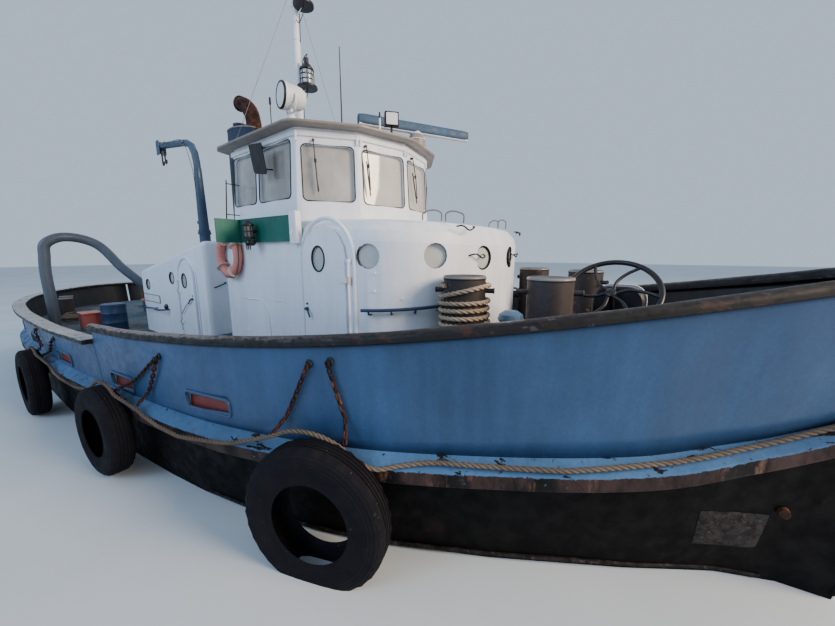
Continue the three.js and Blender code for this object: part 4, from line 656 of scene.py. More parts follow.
def hull_finish(name, black, blue, deck, rust):
    """The hull in one: black below the belt with worn brown scars, blue plating above it, and grey-blue deck
    paint with rust on what looks up."""
    f = Finish(name, gloss=0.12)
    black, blue, deck, rust = map(linear, (black, blue, deck, rust))
    low = weathered(f, black, 0.35, 0.25)
    scars = f.share(f.noise(2.6, 9, 0.7, (1, 1, 0.55), twist=0.4), 0.6, 0.68, 0, 0.6)
    low = f.mix(scars, low, toned(rust, 0.24))
    grey = f.share(f.noise(6.0, 8, 0.7, (1, 1, 0.5), (3, 0, 0)), 0.62, 0.76, 0, 0.3)
    low = f.mix(grey, low, (0.03, 0.03, 0.034))
    side = weathered(f, blue, 0.16, 0.2)
    floor = weathered(f, deck, 0.3, 0.0)
    floor = f.mix(f.share(f.noise(2.2, 8, 0.68), 0.52, 0.66, 0, 0.8), floor, rust)
    height = f.math("SUBTRACT", f.axis(2), belt_height(f))
    above = f.share(height, 0.1, 0.115)
    base = f.mix(above, low, side)
    base = f.mix(f.math("MULTIPLY", f.share(f.upward(), 0.6, 0.8), f.share(height, 0.05, 0.12)), base, floor)
    f.raise_by(f.noise(1.0, 2, 0.4), 0.02)
    f.raise_by(f.noise(14.0, 4, 0.5), 0.0012)
    return f.done(base, f.share(f.noise(7.0, 5), 0.3, 0.7, 0.5, 0.85))


def belt_finish(name, ledge, rust, light, black):
    """The belt: light blue on its sloping top with black scrapes, rust and black on its face. The border
    between the two follows the normal's height and is ragged."""
    f = Finish(name, gloss=0.2)
    ledge, rust, light, black = map(linear, (ledge, rust, light, black))
    top = weathered(f, ledge, 0.2, 0.1)
    scrape = f.noise(6.0, 9, 0.66, (0.6, 1, 1), twist=0.4)
    top = f.mix(f.share(scrape, 0.595, 0.61), top, black)
    top = f.mix(f.share(f.noise(13.0, 8, 0.7, shift=(2, 0, 0)), 0.63, 0.67, 0, 0.9), top, rust)
    face = f.mix(f.share(f.noise(4.0, 8, 0.68, (1, 1, 0.35)), 0.38, 0.6), black, rust)
    face = f.mix(f.share(f.noise(8.0, 8, 0.7, (1, 1, 0.3), (5, 0, 0)), 0.56, 0.7, 0, 0.85), face, light)
    ragged = f.math("ADD", f.upward(), f.share(f.noise(16.0, 6, 0.7), 0.3, 0.7, -0.22, 0.22))
    on_top = f.share(ragged, 0.16, 0.26)
    base = f.mix(on_top, face, top)
    f.raise_by(f.noise(2.4, 3, 0.5), 0.012)
    f.raise_by(f.share(scrape, 0.58, 0.64, 0.0, -1.0), 0.003)
    f.raise_by(f.noise(30.0, 4, 0.55), 0.001)
    return f.done(base, f.share(f.noise(8.0, 5), 0.3, 0.7, 0.42, 0.8))


def clear_glass(name, colour, see, ahead=1.0):
    """Old window glass: grey, partly see-through, with a haze of salt that makes it less clear in places.
    Forward of the side windows the colour goes to the colour times ahead, as the sky lightens it."""
    f = Finish(name, gloss=0.9)
    colour = linear(colour)
    haze = f.noise(3.0, 5, 0.6, (1, 1, 0.6))
    front = f.share(f.axis(0), 3.1, 3.6)
    base = f.mix(front, colour, tuple(min(1, c * ahead) for c in colour))
    base = f.mix(f.share(haze, 0.3, 0.7), base, f.mix(0.25, base, (0.6, 0.6, 0.6)))
    f.put(f.shader.inputs["Alpha"], f.share(haze, 0.3, 0.75, see - 0.08, see + 0.14))
    f.raise_by(f.noise(1.6, 2, 0.4), 0.0008)
    return f.done(base, f.share(haze, 0.3, 0.7, 0.03, 0.09))


def rail_finish(name, top, edge, rust, fore=0.0):
    """Rail: worn grey on what looks up, black with chips on its edges, darker and browner towards the bow.
    The grey top and black edges are partly wear and paint and partly painted light and shade: faces that look
    up are painted lighter, the others darker. The border follows the normal's height plus a noise."""
    f = Finish(name)
    top, edge, rust = map(linear, (top, edge, rust))
    upper = weathered(f, top, 0.2, 0.0)
    upper = f.mix(f.share(f.noise(9.0, 9, 0.7, twist=0.3), 0.54, 0.6), upper, toned(top, 0.35))
    dark = weathered(f, edge, 0.3, 0.0)
    brown = f.share(f.noise(5.0, 9, 0.7, (0.5, 1, 1), (2, 0, 0)), 0.54, 0.64, 0, 0.6)
    dark = f.mix(brown, dark, toned(rust, 0.45))
    dark = f.mix(f.share(f.noise(13.0, 9, 0.72, (0.4, 1, 1), (4, 0, 0)), 0.6, 0.64, 0, 0.5), dark,
                 toned(top, 0.6))
    level = f.math("ADD", f.upward(), f.share(f.noise(11.0, 7, 0.7), 0.3, 0.7, -0.25, 0.25))
    # Painted light and shade: faces that look up take the grey top, the rest the near-black edge colour,
    # partly wear
    bare = f.share(level, 0.62, 0.8)
    if fore:
        bare = f.math("MULTIPLY", bare, f.share(f.axis(0), 2.2, 5.0, 1.0, 1.0 - fore))
    base = f.mix(bare, dark, upper)
    f.raise_by(f.noise(12.0, 4, 0.55, (0.6, 1, 1)), 0.003)
    f.raise_by(f.noise(50.0, 3, 0.5), 0.0004)
    return f.done(base, f.share(f.noise(12.0, 4), 0.3, 0.7, 0.38, 0.72))


def build_finishes():
    """Every material of the tug, by name."""
    c = bpy.context.scene.tug_colours
    rust, light = c.rust, c.rust_light
    painted("side_blue", c.blue, toned(c.black, 1.2), rust, 0.25, 0.11, 0.25, dents=0.012, tone=0.18)
    painted("inner_black", (30, 32, 36), c.black, rust, 0.45, 0.3, gloss=0.5)
    # Rails: near-black on faces that do not look up, partly paint and partly painted shade
    rail_finish("rail_worn_and_shaded", c.rail, (8, 8, 10), rust, fore=0.9)
    rail_finish("rail_after", c.aft_rail, (24, 24, 26), rust)
    painted("house_white", c.white, (150, 140, 128), light, 0.12, 0.05, 0.22, dents=0.01, tone=0.05)
    painted("trim_white", (222, 226, 230), (140, 130, 118), light, 0.3, 0.04, 0.3, tone=0.06)
    # Painted shade: the roof paint is darkened and heavily grimed, partly real dirt and partly the shade
    # under the brim
    painted("roof_edge", c.roof_shaded, (96, 88, 80), light, 0.25, 0.08, 0.6, tone=0.12)
    painted("gear_blue", c.gear_blue, (26, 28, 34), rust, 0.5, 0.1, 0.4, dents=0.003, tone=0.2)
    painted("hoop_blue", (70, 80, 92), (36, 38, 44), rust, 0.45, 0.15, 0.5, dents=0.003, tone=0.25)
    painted("dark_blue", (38, 60, 88), (24, 26, 30), rust, 0.45, 0.12, 0.3)
    painted("navy", c.navy, (18, 20, 24), rust, 0.3, 0.2, 0.3, gloss=0.62)
    painted("vent_blue", (88, 122, 158), (40, 52, 66), rust, 0.3, 0.1, 0.4)
    painted("radar_blue", (50, 78, 104), (24, 30, 38), rust, 0.2, 0.1, 0.3, gloss=0.62)
    painted("gear_black", (28, 28, 32), (16, 16, 18), rust, 0.55, 0.1, gloss=0.38, tone=0.3)
    painted("bollard_black", (52, 46, 47), (86, 68, 60), (112, 88, 72), 0.95, 0.3, gloss=0.6, tone=0.35,
            chips=8.0)
    painted("board_green", c.green, (40, 44, 42), light, 0.3, 0.12, 0.3)
    painted("board_red", c.red, (44, 34, 34), light, 0.3, 0.12, 0.3)
    painted("lifebuoy_orange", c.orange, (190, 150, 130), (170, 120, 100), 0.25, 0.05, 0.5, gloss=0.55)
    painted("hatch_red", c.hatch, (80, 60, 56), rust, 0.5, 0.06, 0.4)
    painted("steel_worn", c.steel, (70, 66, 64), rust, 0.6, 0.05, gloss=0.35)
    painted("beige_fitting", (196, 184, 160), (120, 100, 80), light, 0.5, 0.05, 0.4)
    painted("inside_pale", (176, 168, 150), (120, 112, 100), light, 0.1, 0.0, 0.2, tone=0.06)
    rusted("rusty", rust, light, (44, 28, 24))
    rusted("rusty_dark", (72, 44, 34), (120, 78, 54), (30, 22, 21), seed=4)
    rusted("rough_grey", (52, 48, 48), (92, 86, 82), (24, 22, 23), seed=6, scale=16.0)
    rusted("ledge_worn", (40, 37, 37), (92, 84, 78), (14, 13, 14), seed=9, scale=9.0)
    rusted("bronze", (150, 112, 60), (186, 150, 92), (96, 76, 48), seed=2, scale=4.0)
    worn_rubber("tyre_rubber", c.rubber, (122, 82, 56))
    painted("gasket", (22, 22, 24), (14, 14, 15), (60, 56, 52), 0.05, 0.0, gloss=0.5)
    painted("sea_red", (104, 44, 38), (50, 34, 30), rust, 0.5, 0.1)
    old_rope("rope_fibre", c.rope)
    old_rope("rope_tan", (184, 166, 142))
    painted("flap_red", (112, 44, 40), (50, 34, 32), rust, 0.5, 0.06, 0.6)
    hull_finish("hull_paint", c.black, c.blue, (78, 92, 100), rust)
    belt_finish("belt_paint", c.ledge, (58, 43, 41), (110, 82, 68), (12, 11, 13))
    # Painted reflection: the window glass is pale grey partly for the sky it reflects, and lighter again
    # forward
    clear_glass("glass", c.glass, see=0.86, ahead=1.8)
    clear_glass("port_glass", (186, 192, 190), see=0.86)
    clear_glass("dark_glass", (18, 24, 26), see=0.9)
    clear_glass("lantern_glass", (176, 188, 190), see=0.7)
    painted("buoy_band", (222, 206, 194), (150, 130, 116), (170, 140, 120), 0.2, 0.05, 0.4)
    lens = Finish("lens", gloss=1.0)
    # Painted reflection: the lens is painted near-white, paler in small cells, for the light its glass throws
    # back
    painted_glint = lens.share(lens.cells(60.0), 0.0, 0.5, 0.7, 1.0)
    lens.done(lens.mix(painted_glint, tint(120, 124, 126), tint(216, 220, 222)), lens.share(painted_glint, 0.7, 1.0, 0.06, 0.2))


# Finish of the solids, and the angle in degrees over which their edges stay sharp
DRESS = (("house_white", 20, "wheelhouse"), ("house_white", 24, "deckhouse_front", "deckhouse_side_stbd",
                                             "deckhouse_side_port", "deckhouse_back", "deckhouse_top"),
         ("house_white", 30, "deckhouse_door_stbd", "deckhouse_door_port", "casing_top", "casing_fore",
          "casing_back", "casing_side_stbd", "casing_side_port", "casing_door_stbd", "casing_door_port"),
         ("bollard_black", 34, "bollards_fore_stbd", "bollards_fore_port", "bollards_aft_stbd",
          "bollards_aft_port"), ("hull_paint", 24, "hull"), ("glass", 20, "wheelhouse_glazing"),
         ("roof_edge", 30, "wheelhouse_roof"), ("trim_white", 32, "searchlight"), ("trim_white", 34, "mast"),
         ("radar_blue", 32, "radar_scanner"), ("gear_black", 32, "floodlight"),
         ("gear_black", 34, "tow_post", "windlass"), ("inside_pale", 30, "helm"),
         ("board_green", 30, "sidelight_board_stbd"), ("board_red", 30, "sidelight_board_port"),
         ("lifebuoy_orange", 60, "lifebuoy"), ("navy", 30, "funnel"), ("rusty", 40, "exhaust_elbow"),
         ("rusty_dark", 40, "tow_hook"), ("gear_blue", 30, "engine", "hatch_coaming"),
         ("gear_blue", 34, "davit_base"), ("gear_blue", 40, "davit_arm"), ("vent_blue", 34, "mushroom_vent"),
         ("hatch_red", 30, "hatch_lid"), ("bronze", 30, "propeller"), ("sea_red", 30, "rudder"),)


def finish_named(name):
    return bpy.data.materials[f"tug_{name}"]


def smoothing(angle):
    """Node group that welds a solid's loose triangles and shades it smooth but at edges over the angle."""
    group = bpy.data.node_groups.new(f"smooth_to_{angle}", "GeometryNodeTree")
    group.interface.new_socket("Geometry", in_out="INPUT", socket_type="NodeSocketGeometry")
    group.interface.new_socket("Geometry", in_out="OUTPUT", socket_type="NodeSocketGeometry")
    add_node, link = group.nodes.new, group.links.new
    start, end = add_node("NodeGroupInput"), add_node("NodeGroupOutput")
    weld, turn, over = (add_node(k) for k in ("GeometryNodeMergeByDistance", "GeometryNodeInputMeshEdgeAngle",
                                              "FunctionNodeCompare"))
    faces, edges = add_node("GeometryNodeSetShadeSmooth"), add_node("GeometryNodeSetShadeSmooth")
    weld.inputs["Distance"].default_value = 0.00005
    over.data_type, over.operation = "FLOAT", "GREATER_THAN"
    over.inputs[1].default_value = radians(angle)
    edges.domain = "EDGE"
    edges.inputs["Shade Smooth"].default_value = False
    link(start.outputs[0], weld.inputs["Geometry"])
    link(weld.outputs["Geometry"], faces.inputs["Geometry"])
    link(faces.outputs["Geometry"], edges.inputs["Geometry"])
    link(turn.outputs["Unsigned Angle"], over.inputs[0])
    link(over.outputs["Result"], edges.inputs["Selection"])
    link(edges.outputs["Geometry"], end.inputs[0])
    return group


def dress(node, finish, angle):
    """Gives a solid its finish and its smooth shading."""
    piece = bpy.data.objects[node]
    if not piece.material_slots:
        raise RuntimeError(f"{node} has no material slot")
    for slot in piece.material_slots:
        slot.material = finish_named(finish)
    group = bpy.data.node_groups.get(f"smooth_to_{angle}") or smoothing(angle)
    piece.modifiers.new("smooth", "NODES").node_group = group


class TUG_OT_finishes(bpy.types.Operator):
    """Make every paint and material, and give each solid its own"""
    bl_idname = "tug.finishes"
    bl_label = "Paints and materials"

    def execute(self, context):
        build_finishes()
        for finish, angle, *nodes in DRESS:
            for node in nodes:
                dress(node, finish, angle)
        return {"FINISHED"}


# Lights: name, place, what it faces, width, watts, colour
LIGHTS = (("bow_light", (25, 3, 11), (3, 0, 2), 10, 8600, (255, 228, 198)),
          ("side_light", (-6, -28, 18), (0, 0, 1), 16, 4300, (196, 220, 255)),
          ("far_light", (-8, 26, 20), (0, 0, 2), 14, 1500, (255, 252, 246)))
# Camera: place, degrees down from level and left of +Y, focal length and picture width in pixels
CAMERA_AT, LOOKS_DOWN, LOOKS_LEFT = (6.578, -3.819, 2.7), 9.886, 36
FOCAL_LENGTH, PICTURE_WIDTH = 350, 835
FLOOR_REACH = 90.0


class TUG_OT_stage(bpy.types.Operator):
    """Set the pale floor at the waterline, the soft lights and the camera"""
    bl_idname = "tug.stage"
    bl_label = "Floor, lights and camera"

    def execute(self, context):
        scene = context.scene
        f = Finish("pale_floor", gloss=0.2)
        base = f.mix(f.share(f.noise(0.35, 3), 0.3, 0.7), tint(188, 198, 204), tint(198, 206, 211))
        floor_paint = f.done(base, 0.75)
        mesh = bpy.data.meshes.new("floor")
        corners = [(x * FLOOR_REACH, y * FLOOR_REACH, 0) for x, y in ((-1, -1), (1, -1), (1, 1), (-1, 1))]
        mesh.from_pydata(corners, [], [(0, 1, 2, 3)])
        mesh.materials.append(floor_paint)
        floor = bpy.data.objects.new("floor", mesh)
        scene.collection.objects.link(floor)
        sky = bpy.data.worlds.new("sky")
        sky.use_nodes = True
        back = sky.node_tree.nodes["Background"]
        back.inputs["Color"].default_value = (*tint(198, 215, 236), 1)
        back.inputs["Strength"].default_value = 0.92
        scene.world = sky
        for name, place, aim, size, watts, colour in LIGHTS:
            lamp = bpy.data.lights.new(name, "AREA")
            lamp.shape, lamp.size, lamp.energy, lamp.color = "DISK", size, watts, tint(*colour)
            light = bpy.data.objects.new(name, lamp)
            light.location = place
            light.rotation_euler = (Vector(aim) - Vector(place)).to_track_quat("-Z", "Y").to_euler()
            scene.collection.objects.link(light)
        lens = bpy.data.cameras.new("camera")
        lens.sensor_width, lens.lens = 36.0, FOCAL_LENGTH * 36 / PICTURE_WIDTH
        lens.clip_end = 400
        camera = bpy.data.objects.new("camera", lens)
        camera.location = CAMERA_AT
        camera.rotation_euler = (radians(90 - LOOKS_DOWN), 0, radians(LOOKS_LEFT))
        scene.collection.objects.link(camera)
        scene.camera = camera
        return {"FINISHED"}


def on_side(x, z, proud=0.0):
    """Points on the starboard plating at X and height Z, a little proud of it."""
    x, z = np.broadcast_arrays(np.asarray(x, float), np.asarray(z, float))
    return stack([raked(x, z), -(side_half(x, z) + proud), z], axis=-1)


def stations(first, last, count, *knots):
    """Even stations with the knots put in exactly."""
    return np.unique(np.round(concatenate([linspace(first, last, count), knots]), 5))


def plating(first, last, top, count):
    """Starboard plating from the top of the bulwark down to the belt: a grid of stations and heights, level
    lines even between deck and top, with the freeing ports left out."""
    ports = [p for p in PORTS if first < p[0] < last]
    xs = stations(first, last, count, *(p[0] + s * p[1] / 2 for p in ports for s in (-1, 1)))
    deck, foot, head = line(DECK_Z, xs), line(BELT_Z, xs) + SHEER_STRIP - 0.004, top(xs)
    rows = [foot, (foot + deck) / 2, deck, deck + PORT_LOW, deck + (PORT_LOW + PORT_HIGH) / 2,
            deck + PORT_HIGH]
    rows += [deck + PORT_HIGH + (head - deck - PORT_HIGH) * t for t in linspace(0.1, 1, 14)]
    level = stack(rows, axis=-1)
    proud = 0.004 + 0.022 * np.clip((xs[:, None] - 7.0) / 0.3, 0, 1)
    points = on_side(np.repeat(xs[:, None], level.shape[1], axis=1), level, proud)
    wave = sin(xs * 5.1) * sin(xs * 1.7 + 1) * 0.003
    points[..., 1] += wave[:, None] * sin(linspace(0, pi, level.shape[1]))
    flat, faces, band = grid(points)
    middle = (xs[1:] + xs[:-1])[:, None] / 2
    open_port = np.zeros((len(xs) - 1, level.shape[1] - 1), bool)
    for x, width in ports:
        open_port[:, 3:5] |= np.abs(middle - x) < width / 2
    return flat, [faces[0][~open_port.ravel()]], band


class TUG_OT_plating(bpy.types.Operator):
    """Make the blue side plating and bulwark, both sides, with their freeing ports cut"""
    bl_idname = "tug.plating"
    bl_label = "Side plating and bulwark"

    def execute(self, context):
        for name, first, last, top, count in (("plating_fore", STEP_X, 8.5, fore_top, 150),
                                              ("plating_aft", -8.5, STEP_X, aft_top, 170)):
            piece = add(name, both([plating(first, last, top, count)]), "side_blue",
                        replaces=name.replace("plating", "bulwark"), lining="inner_black", closed=False)
            wall = piece.modifiers.new("plate", "SOLIDIFY")
            wall.thickness, wall.offset, wall.use_even_offset, wall.material_offset = PLATE, -1, True, 1
        return {"FINISHED"}


def outline(xs, half, height):
    """Points from aft along starboard, round the bow and back along port."""
    star = stack([raked(xs, height), -half, height], axis=-1)
    return concatenate([star, (star * (1, -1, 1))[::-1]])


def outward_of(path, closed=False, soften=2):
    """Level normals of an outline that is followed with its outside on the right, evened over neighbours."""
    t = np.roll(path, -1, axis=0) - np.roll(path, 1, axis=0) if closed else np.gradient(path, axis=0)
    n = unit(stack([t[:, 1], -t[:, 0], np.zeros(len(t))], axis=-1))
    for _ in range(soften):
        if closed:
            n = unit(n + 0.5 * (np.roll(n, 1, axis=0) + np.roll(n, -1, axis=0)))
        else:
            n = unit(n + 0.5 * (concatenate([n[:1], n[:-1]]) + concatenate([n[1:], n[-1:]])))
    return n


def carried(path, section, closed=False, soften=2):
    """A section of (outward, up) carried along an outline, always upright."""
    n = outward_of(path, closed, soften)[:, None]
    points = path[:, None] + n * section[..., :1] + UP * section[..., 1:]
    return grid(points, wrap_u=closed, wrap_v=True, caps=not closed)


def wear_wave(length_along, deep, seed=0.0):
    """Slow dents: products of three sines along a length, never outwards."""
    s = length_along
    return deep * (sin(2.3 * s + seed) * sin(0.9 * s + 2 * seed) * sin(5.3 * s) - 1) / 2


class TUG_OT_rails(bpy.types.Operator):
    """Make the worn half-round rail forward and the low flat rail aft"""
    bl_idname = "tug.rails"
    bl_label = "Rails"

    def execute(self, context):
        a = linspace(0, pi, 15)
        half, high = RAIL_WIDTH / 2, RAIL_HEIGHT
        dome = stack([half * cos(a), high * 0.35 + high * 0.65 * sin(a)], axis=-1)
        dome = concatenate([[(half - 0.012, 0), (half, 0.01)], dome, [(-half, 0.01), (-half + 0.012, 0)]])
        xs = stations(STEP_X, 8.47, 260)
        path = outline(xs, line(RAIL_Y, xs), fore_top(xs) + 0.0008)
        s = np.cumsum(np.linalg.norm(np.diff(path, axis=0, prepend=path[:1]), axis=1))
        scar = 1 + wear_wave(s, 0.1)[:, None, None] * array([0.6, 1.0])
        add("rail_fore_worn", [carried(path, dome[None] * scar, soften=3)], "rail_worn_and_shaded",
            replaces="rail_fore")
        flat = rounded(AFT_RAIL_WIDTH, 0.062, 0.02, 5) + (0, 0.031)
        xs = stations(-8.5, STEP_X - 0.07, 260)
        star = stack([raked(xs, aft_top(xs)), -line(RAIL_Y, xs), aft_top(xs) + 0.0008], axis=-1)
        path = concatenate([star[::-1], star * (1, -1, 1)])
        add("rail_aft_worn", [carried(path, flat * (-1, 1), soften=3)], "rail_after",
            replaces="rail_aft")
        return {"FINISHED"}


# Section of the belt: out from the plating, up from its foot
BELT_SECTION = array([(0.0015, 0.0), (0.098, 0.0), (0.11, 0.004), (0.124, 0.014), (0.13, 0.03),
                      (0.1285, 0.055), (0.13, 0.08), (0.129, 0.11), (0.13, 0.122), (0.126, 0.135),
                      (0.117, 0.1405), (0.08, 0.166), (0.04, 0.196), (0.0015, 0.2255)])


class TUG_OT_belt(bpy.types.Operator):
    """Make the belt round the hull: rounded face below, wide sloping ledge above"""
    bl_idname = "tug.belt"
    bl_label = "Belt"

    def execute(self, context):
        xs = stations(-8.5, 8.5, 520)
        length_along = concatenate([xs, -xs[::-1] + 40])
        dent = 1 + np.outer(wear_wave(length_along, 0.12, 1.0), sin(linspace(0, pi, len(BELT_SECTION))))
        rings = []
        for out, rise in BELT_SECTION:
            height = line(BELT_Z, xs) + rise
            path = outline(xs, line(BELT_Y, xs), height)
            rings.append(path[:, None] + outward_of(path, True, 3)[:, None] * out)
        points = concatenate(rings, axis=1)
        inner = points[:, :1] * (1, 1, 0) + points * (0, 0, 1)
        points = inner + (points - inner) * dent[..., None]
        add("belt", [grid(points, wrap_u=True, wrap_v=True)], "belt_paint",
            replaces="belting", sharp=50)
        return {"FINISHED"}


# Half section of a tyre from its bead to the crown, and its inside: share of the radius, share of the width
TYRE_OUTSIDE = array([(0.54, 0.42), (0.545, 0.45), (0.57, 0.465), (0.6, 0.455), (0.64, 0.462), (0.7, 0.485),
                      (0.74, 0.496), (0.78, 0.5), (0.815, 0.497), (0.83, 0.487), (0.86, 0.484), (0.885, 0.47),
                      (0.9, 0.462), (0.925, 0.435), (0.955, 0.4), (0.975, 0.365), (0.99, 0.325),
                      (0.997, 0.28), (1.0, 0.235), (1.0, 0.205), (0.982, 0.2), (0.982, 0.17), (1.0, 0.165),
                      (1.0, 0.09), (0.982, 0.085), (0.982, 0.055), (1.0, 0.05)])
TYRE_INSIDE = array([(0.56, -0.38), (0.62, -0.33), (0.72, -0.33), (0.82, -0.32), (0.86, -0.24), (0.87, 0.0),
                     (0.86, 0.24), (0.82, 0.32), (0.72, 0.33), (0.62, 0.33), (0.56, 0.38)])


def belt_lean(x):
    """Angle by which the belt runs in towards the bow at X."""
    return np.arctan2(line(BELT_Y, x - 0.2) - line(BELT_Y, x + 0.2), 0.4)


def tyre(name, x, diameter, width):
    """Old tyre on the starboard side: a rounded section turned round its axle, lateral grooves cut in the
    shoulders by a square-edged wave of the angle, ribs round the crown and rings on the wall."""
    low, high = (array(c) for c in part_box(name))
    centre = (low + high) / 2
    lean = belt_lean(x)
    axis = array([sin(lean), -cos(lean), 0])
    r, w = diameter / 2, width
    profile = concatenate([TYRE_OUTSIDE, (TYRE_OUTSIDE * (1, -1))[::-1], TYRE_INSIDE]) * (r, w)
    sides = 132
    a = np.arange(sides) / sides * 2 * pi
    shoulder = np.exp(-((np.abs(profile[:, 1]) / w - 0.335) / 0.075) ** 2) * (profile[:, 0] > 0.93 * r)
    groove = np.clip(2.5 * sin(a * 33), -1, 1) * 0.5 + 0.5
    wall = (profile[:, 0] > 0.6 * r) & (profile[:, 0] < 0.9 * r)
    radius = profile[:, 0] - shoulder * 0.03 * r * groove[:, None]
    radius *= 1 + 0.006 * sin(2 * a + x)[:, None]
    radius = np.minimum(radius, r)
    off = profile[:, 1] * (1 - 0.012 * wall * (sin(3 * a + x)[:, None] + 1))
    spoke_x, spoke_z = cross(axis, UP), UP
    spoke = spoke_x * cos(a)[:, None] + spoke_z * sin(a)[:, None]
    points = centre + axis * off[..., None] + spoke[:, None] * radius[..., None]
    flat, faces, _ = grid(points, wrap_u=True, wrap_v=True)
    return flat, faces, (np.linalg.norm(profile, axis=1) * np.ones((sides, 1))).ravel()


class TUG_OT_tyres(bpy.types.Operator):
    """Make the six old tyres that hang along the sides as fenders"""
    bl_idname = "tug.tyres"
    bl_label = "Tyre fenders"

    def execute(self, context):
        for name, x, _, diameter, width in TYRES:
            star = [tyre(f"{name}_stbd", x, diameter, width)]
            for side, sign in SIDES:
                add(f"{name}_{side}_worn", to_side(sign, star), "tyre_rubber",
                    replaces=f"{name}_{side}", sharp=50)
        return {"FINISHED"}


# Chains that carry the tyres: upper eye and lower end, X and height
CHAINS = (((4.188, 1.756), (3.818, 1.085)), ((4.38, 1.794), (4.521, 1.15)), ((2.073, 1.51), (1.3, 1.07)),
          ((2.197, 1.574), (1.76, 0.98)), ((-1.25, 1.33), (-1.7, 1.02)), ((-2.52, 1.33), (-2.1, 1.02)))


class TUG_OT_chains(bpy.types.Operator):
    """Hang the tyres' chains from eyes in the bulwark"""
    bl_idname = "tug.chains"
    bl_label = "Tyre chains"

    def execute(self, context):
        s = sizes()
        links, eyes = [], []
        width = s.link * 0.66
        for (x0, z0), (x1, z1) in CHAINS:
            t = linspace(0, 1, 20)
            z = z0 + (z1 - z0) * t - 0.02 * sin(pi * t)
            x = x0 + (x1 - x0) * t
            out = 0.012 + width / 2 + np.maximum(0, t - 0.72) * 0.3
            path = on_side(x, z)
            path[:, 1] = np.minimum(path[:, 1], -line(BELT_Y, x)) - out
            links.append(chain(path, s.chain_wire, s.link, width))
            eye = on_side(x0, z0 + 0.02, 0.004)
            eyes.append(ring(eye + (0, -0.006, 0), (0, -1, 0.05), 0.03, 0.01, 28, 10))
            eyes.append(bar(eye + (0, 0.004, 0), eye - (0, 0.006, 0), 0.026, 0.024))
        add("tyre_chains", both(links), "rusty_dark", sharp=60)
        add("chain_eyes", both(eyes), "gear_black")
        return {"FINISHED"}


# Rope along the starboard side: X, height over the belt's foot or None, number of the tyre that it lies on
ROPE_ROUTE = ((-2.65, 0.15, None), (-2.2, None, 2), (-1.62, None, 2), (-1.15, 0.175, None),
              (-0.7, 0.11, None), (-0.1, 0.095, None), (0.4, 0.15, None), (0.83, None, 1), (1.42, None, 1),
              (1.85, 0.165, None), (2.2, 0.1, None), (2.575, 0.075, None), (3.341, 0.165, None),
              (3.88, None, 0), (4.7, None, 0), (5.114, 0.205, None), (6.023, 0.187, None),
              (6.519, 0.205, None), (6.874, 0.207, None), (7.262, 0.215, None), (7.56, 0.222, None),
              (7.95, 0.224, None))


def rope_on_belt(x, up):
    """Middle of the rope at heights over the belt's foot: against the face, or on the ledge, which falls away
    to the plating over its height."""
    r, slant = 0.029, np.hypot(BELT_OUT, LEDGE_HIGH)
    off = np.minimum(BELT_OUT + r, BELT_OUT * (1 - (up - 0.14) / LEDGE_HIGH) + r * slant / LEDGE_HIGH)
    z = line(BELT_Z, x) + up
    here, ahead = (stack([raked(x + d, z), -line(BELT_Y, x + d)], axis=-1) for d in (-0.01, 0.01))
    t = unit(ahead - here)
    middle = (here + ahead) / 2 + stack([t[:, 1], -t[:, 0]], axis=-1) * off[:, None]
    return np.column_stack([middle, z])


def rope_on_tyre(x, number):
    """Middle of the rope over the crown of a tyre: a circle in the tyre's upright middle plane."""
    _, at, z, diameter, width = TYRES[number]
    lean = belt_lean(at)
    out = BELT_OUT + 0.3 * width
    along = (x - at - sin(lean) * -out) / cos(lean)
    rise = np.sqrt((diameter / 2 + 0.028) ** 2 - along**2)
    return stack([x, -(line(BELT_Y, at) + cos(lean) * out - sin(lean) * along), z + rise], axis=-1)


class TUG_OT_side_rope(bpy.types.Operator):
    """Lay the twisted rope that runs along the starboard side over the tyres"""
    bl_idname = "tug.side_rope"
    bl_label = "Side rope"

    def execute(self, context):
        rows = []
        for (x0, up0, on0), (x1, up1, on1) in zip(ROPE_ROUTE, ROPE_ROUTE[1:]):
            xs = linspace(x0, x1, max(2, int((x1 - x0) / 0.06)), endpoint=False)
            if on0 is not None and on0 == on1:
                rows.append(rope_on_tyre(xs, on0))
            elif on0 is None and on1 is None:
                rows.append(rope_on_belt(xs, up0 + (up1 - up0) * (xs - x0) / (x1 - x0)))
            else:
                ends = [rope_on_belt(array([x]), array([up])) if on is None else rope_on_tyre(array([x]), on)
                        for x, up, on in ((x0, up0, on0), (x1, up1, on1))]
                rows.append(ends[0] + (ends[1] - ends[0]) * ((xs - x0) / (x1 - x0))[:, None])
        x1, up1, _ = ROPE_ROUTE[-1]
        path = concatenate(rows + [rope_on_belt(array([x1]), array([up1]))])
        path = curve(path[::2], 420)
        rope = laid_rope(path, sizes().rope)
        add("side_rope_laid", [rope], "rope_fibre", replaces="side_rope", sharp=60, closed=False)
        whipping, eyes = [], []
        for tip, before in ((path[0], path[2]), (path[-1], path[-3])):
            off = unit(tip - before)
            whipping.append(bar(tip - off * 0.1, tip - off * 0.02, sizes().rope * 1.15))
            eyes.append(ring(tip + off * 0.026, cross(off, UP), 0.032, 0.009, 28, 10))
        add("side_rope_whipping", whipping, "rope_tan")
        add("side_rope_eyes", eyes, "steel_worn")
        return {"FINISHED"}


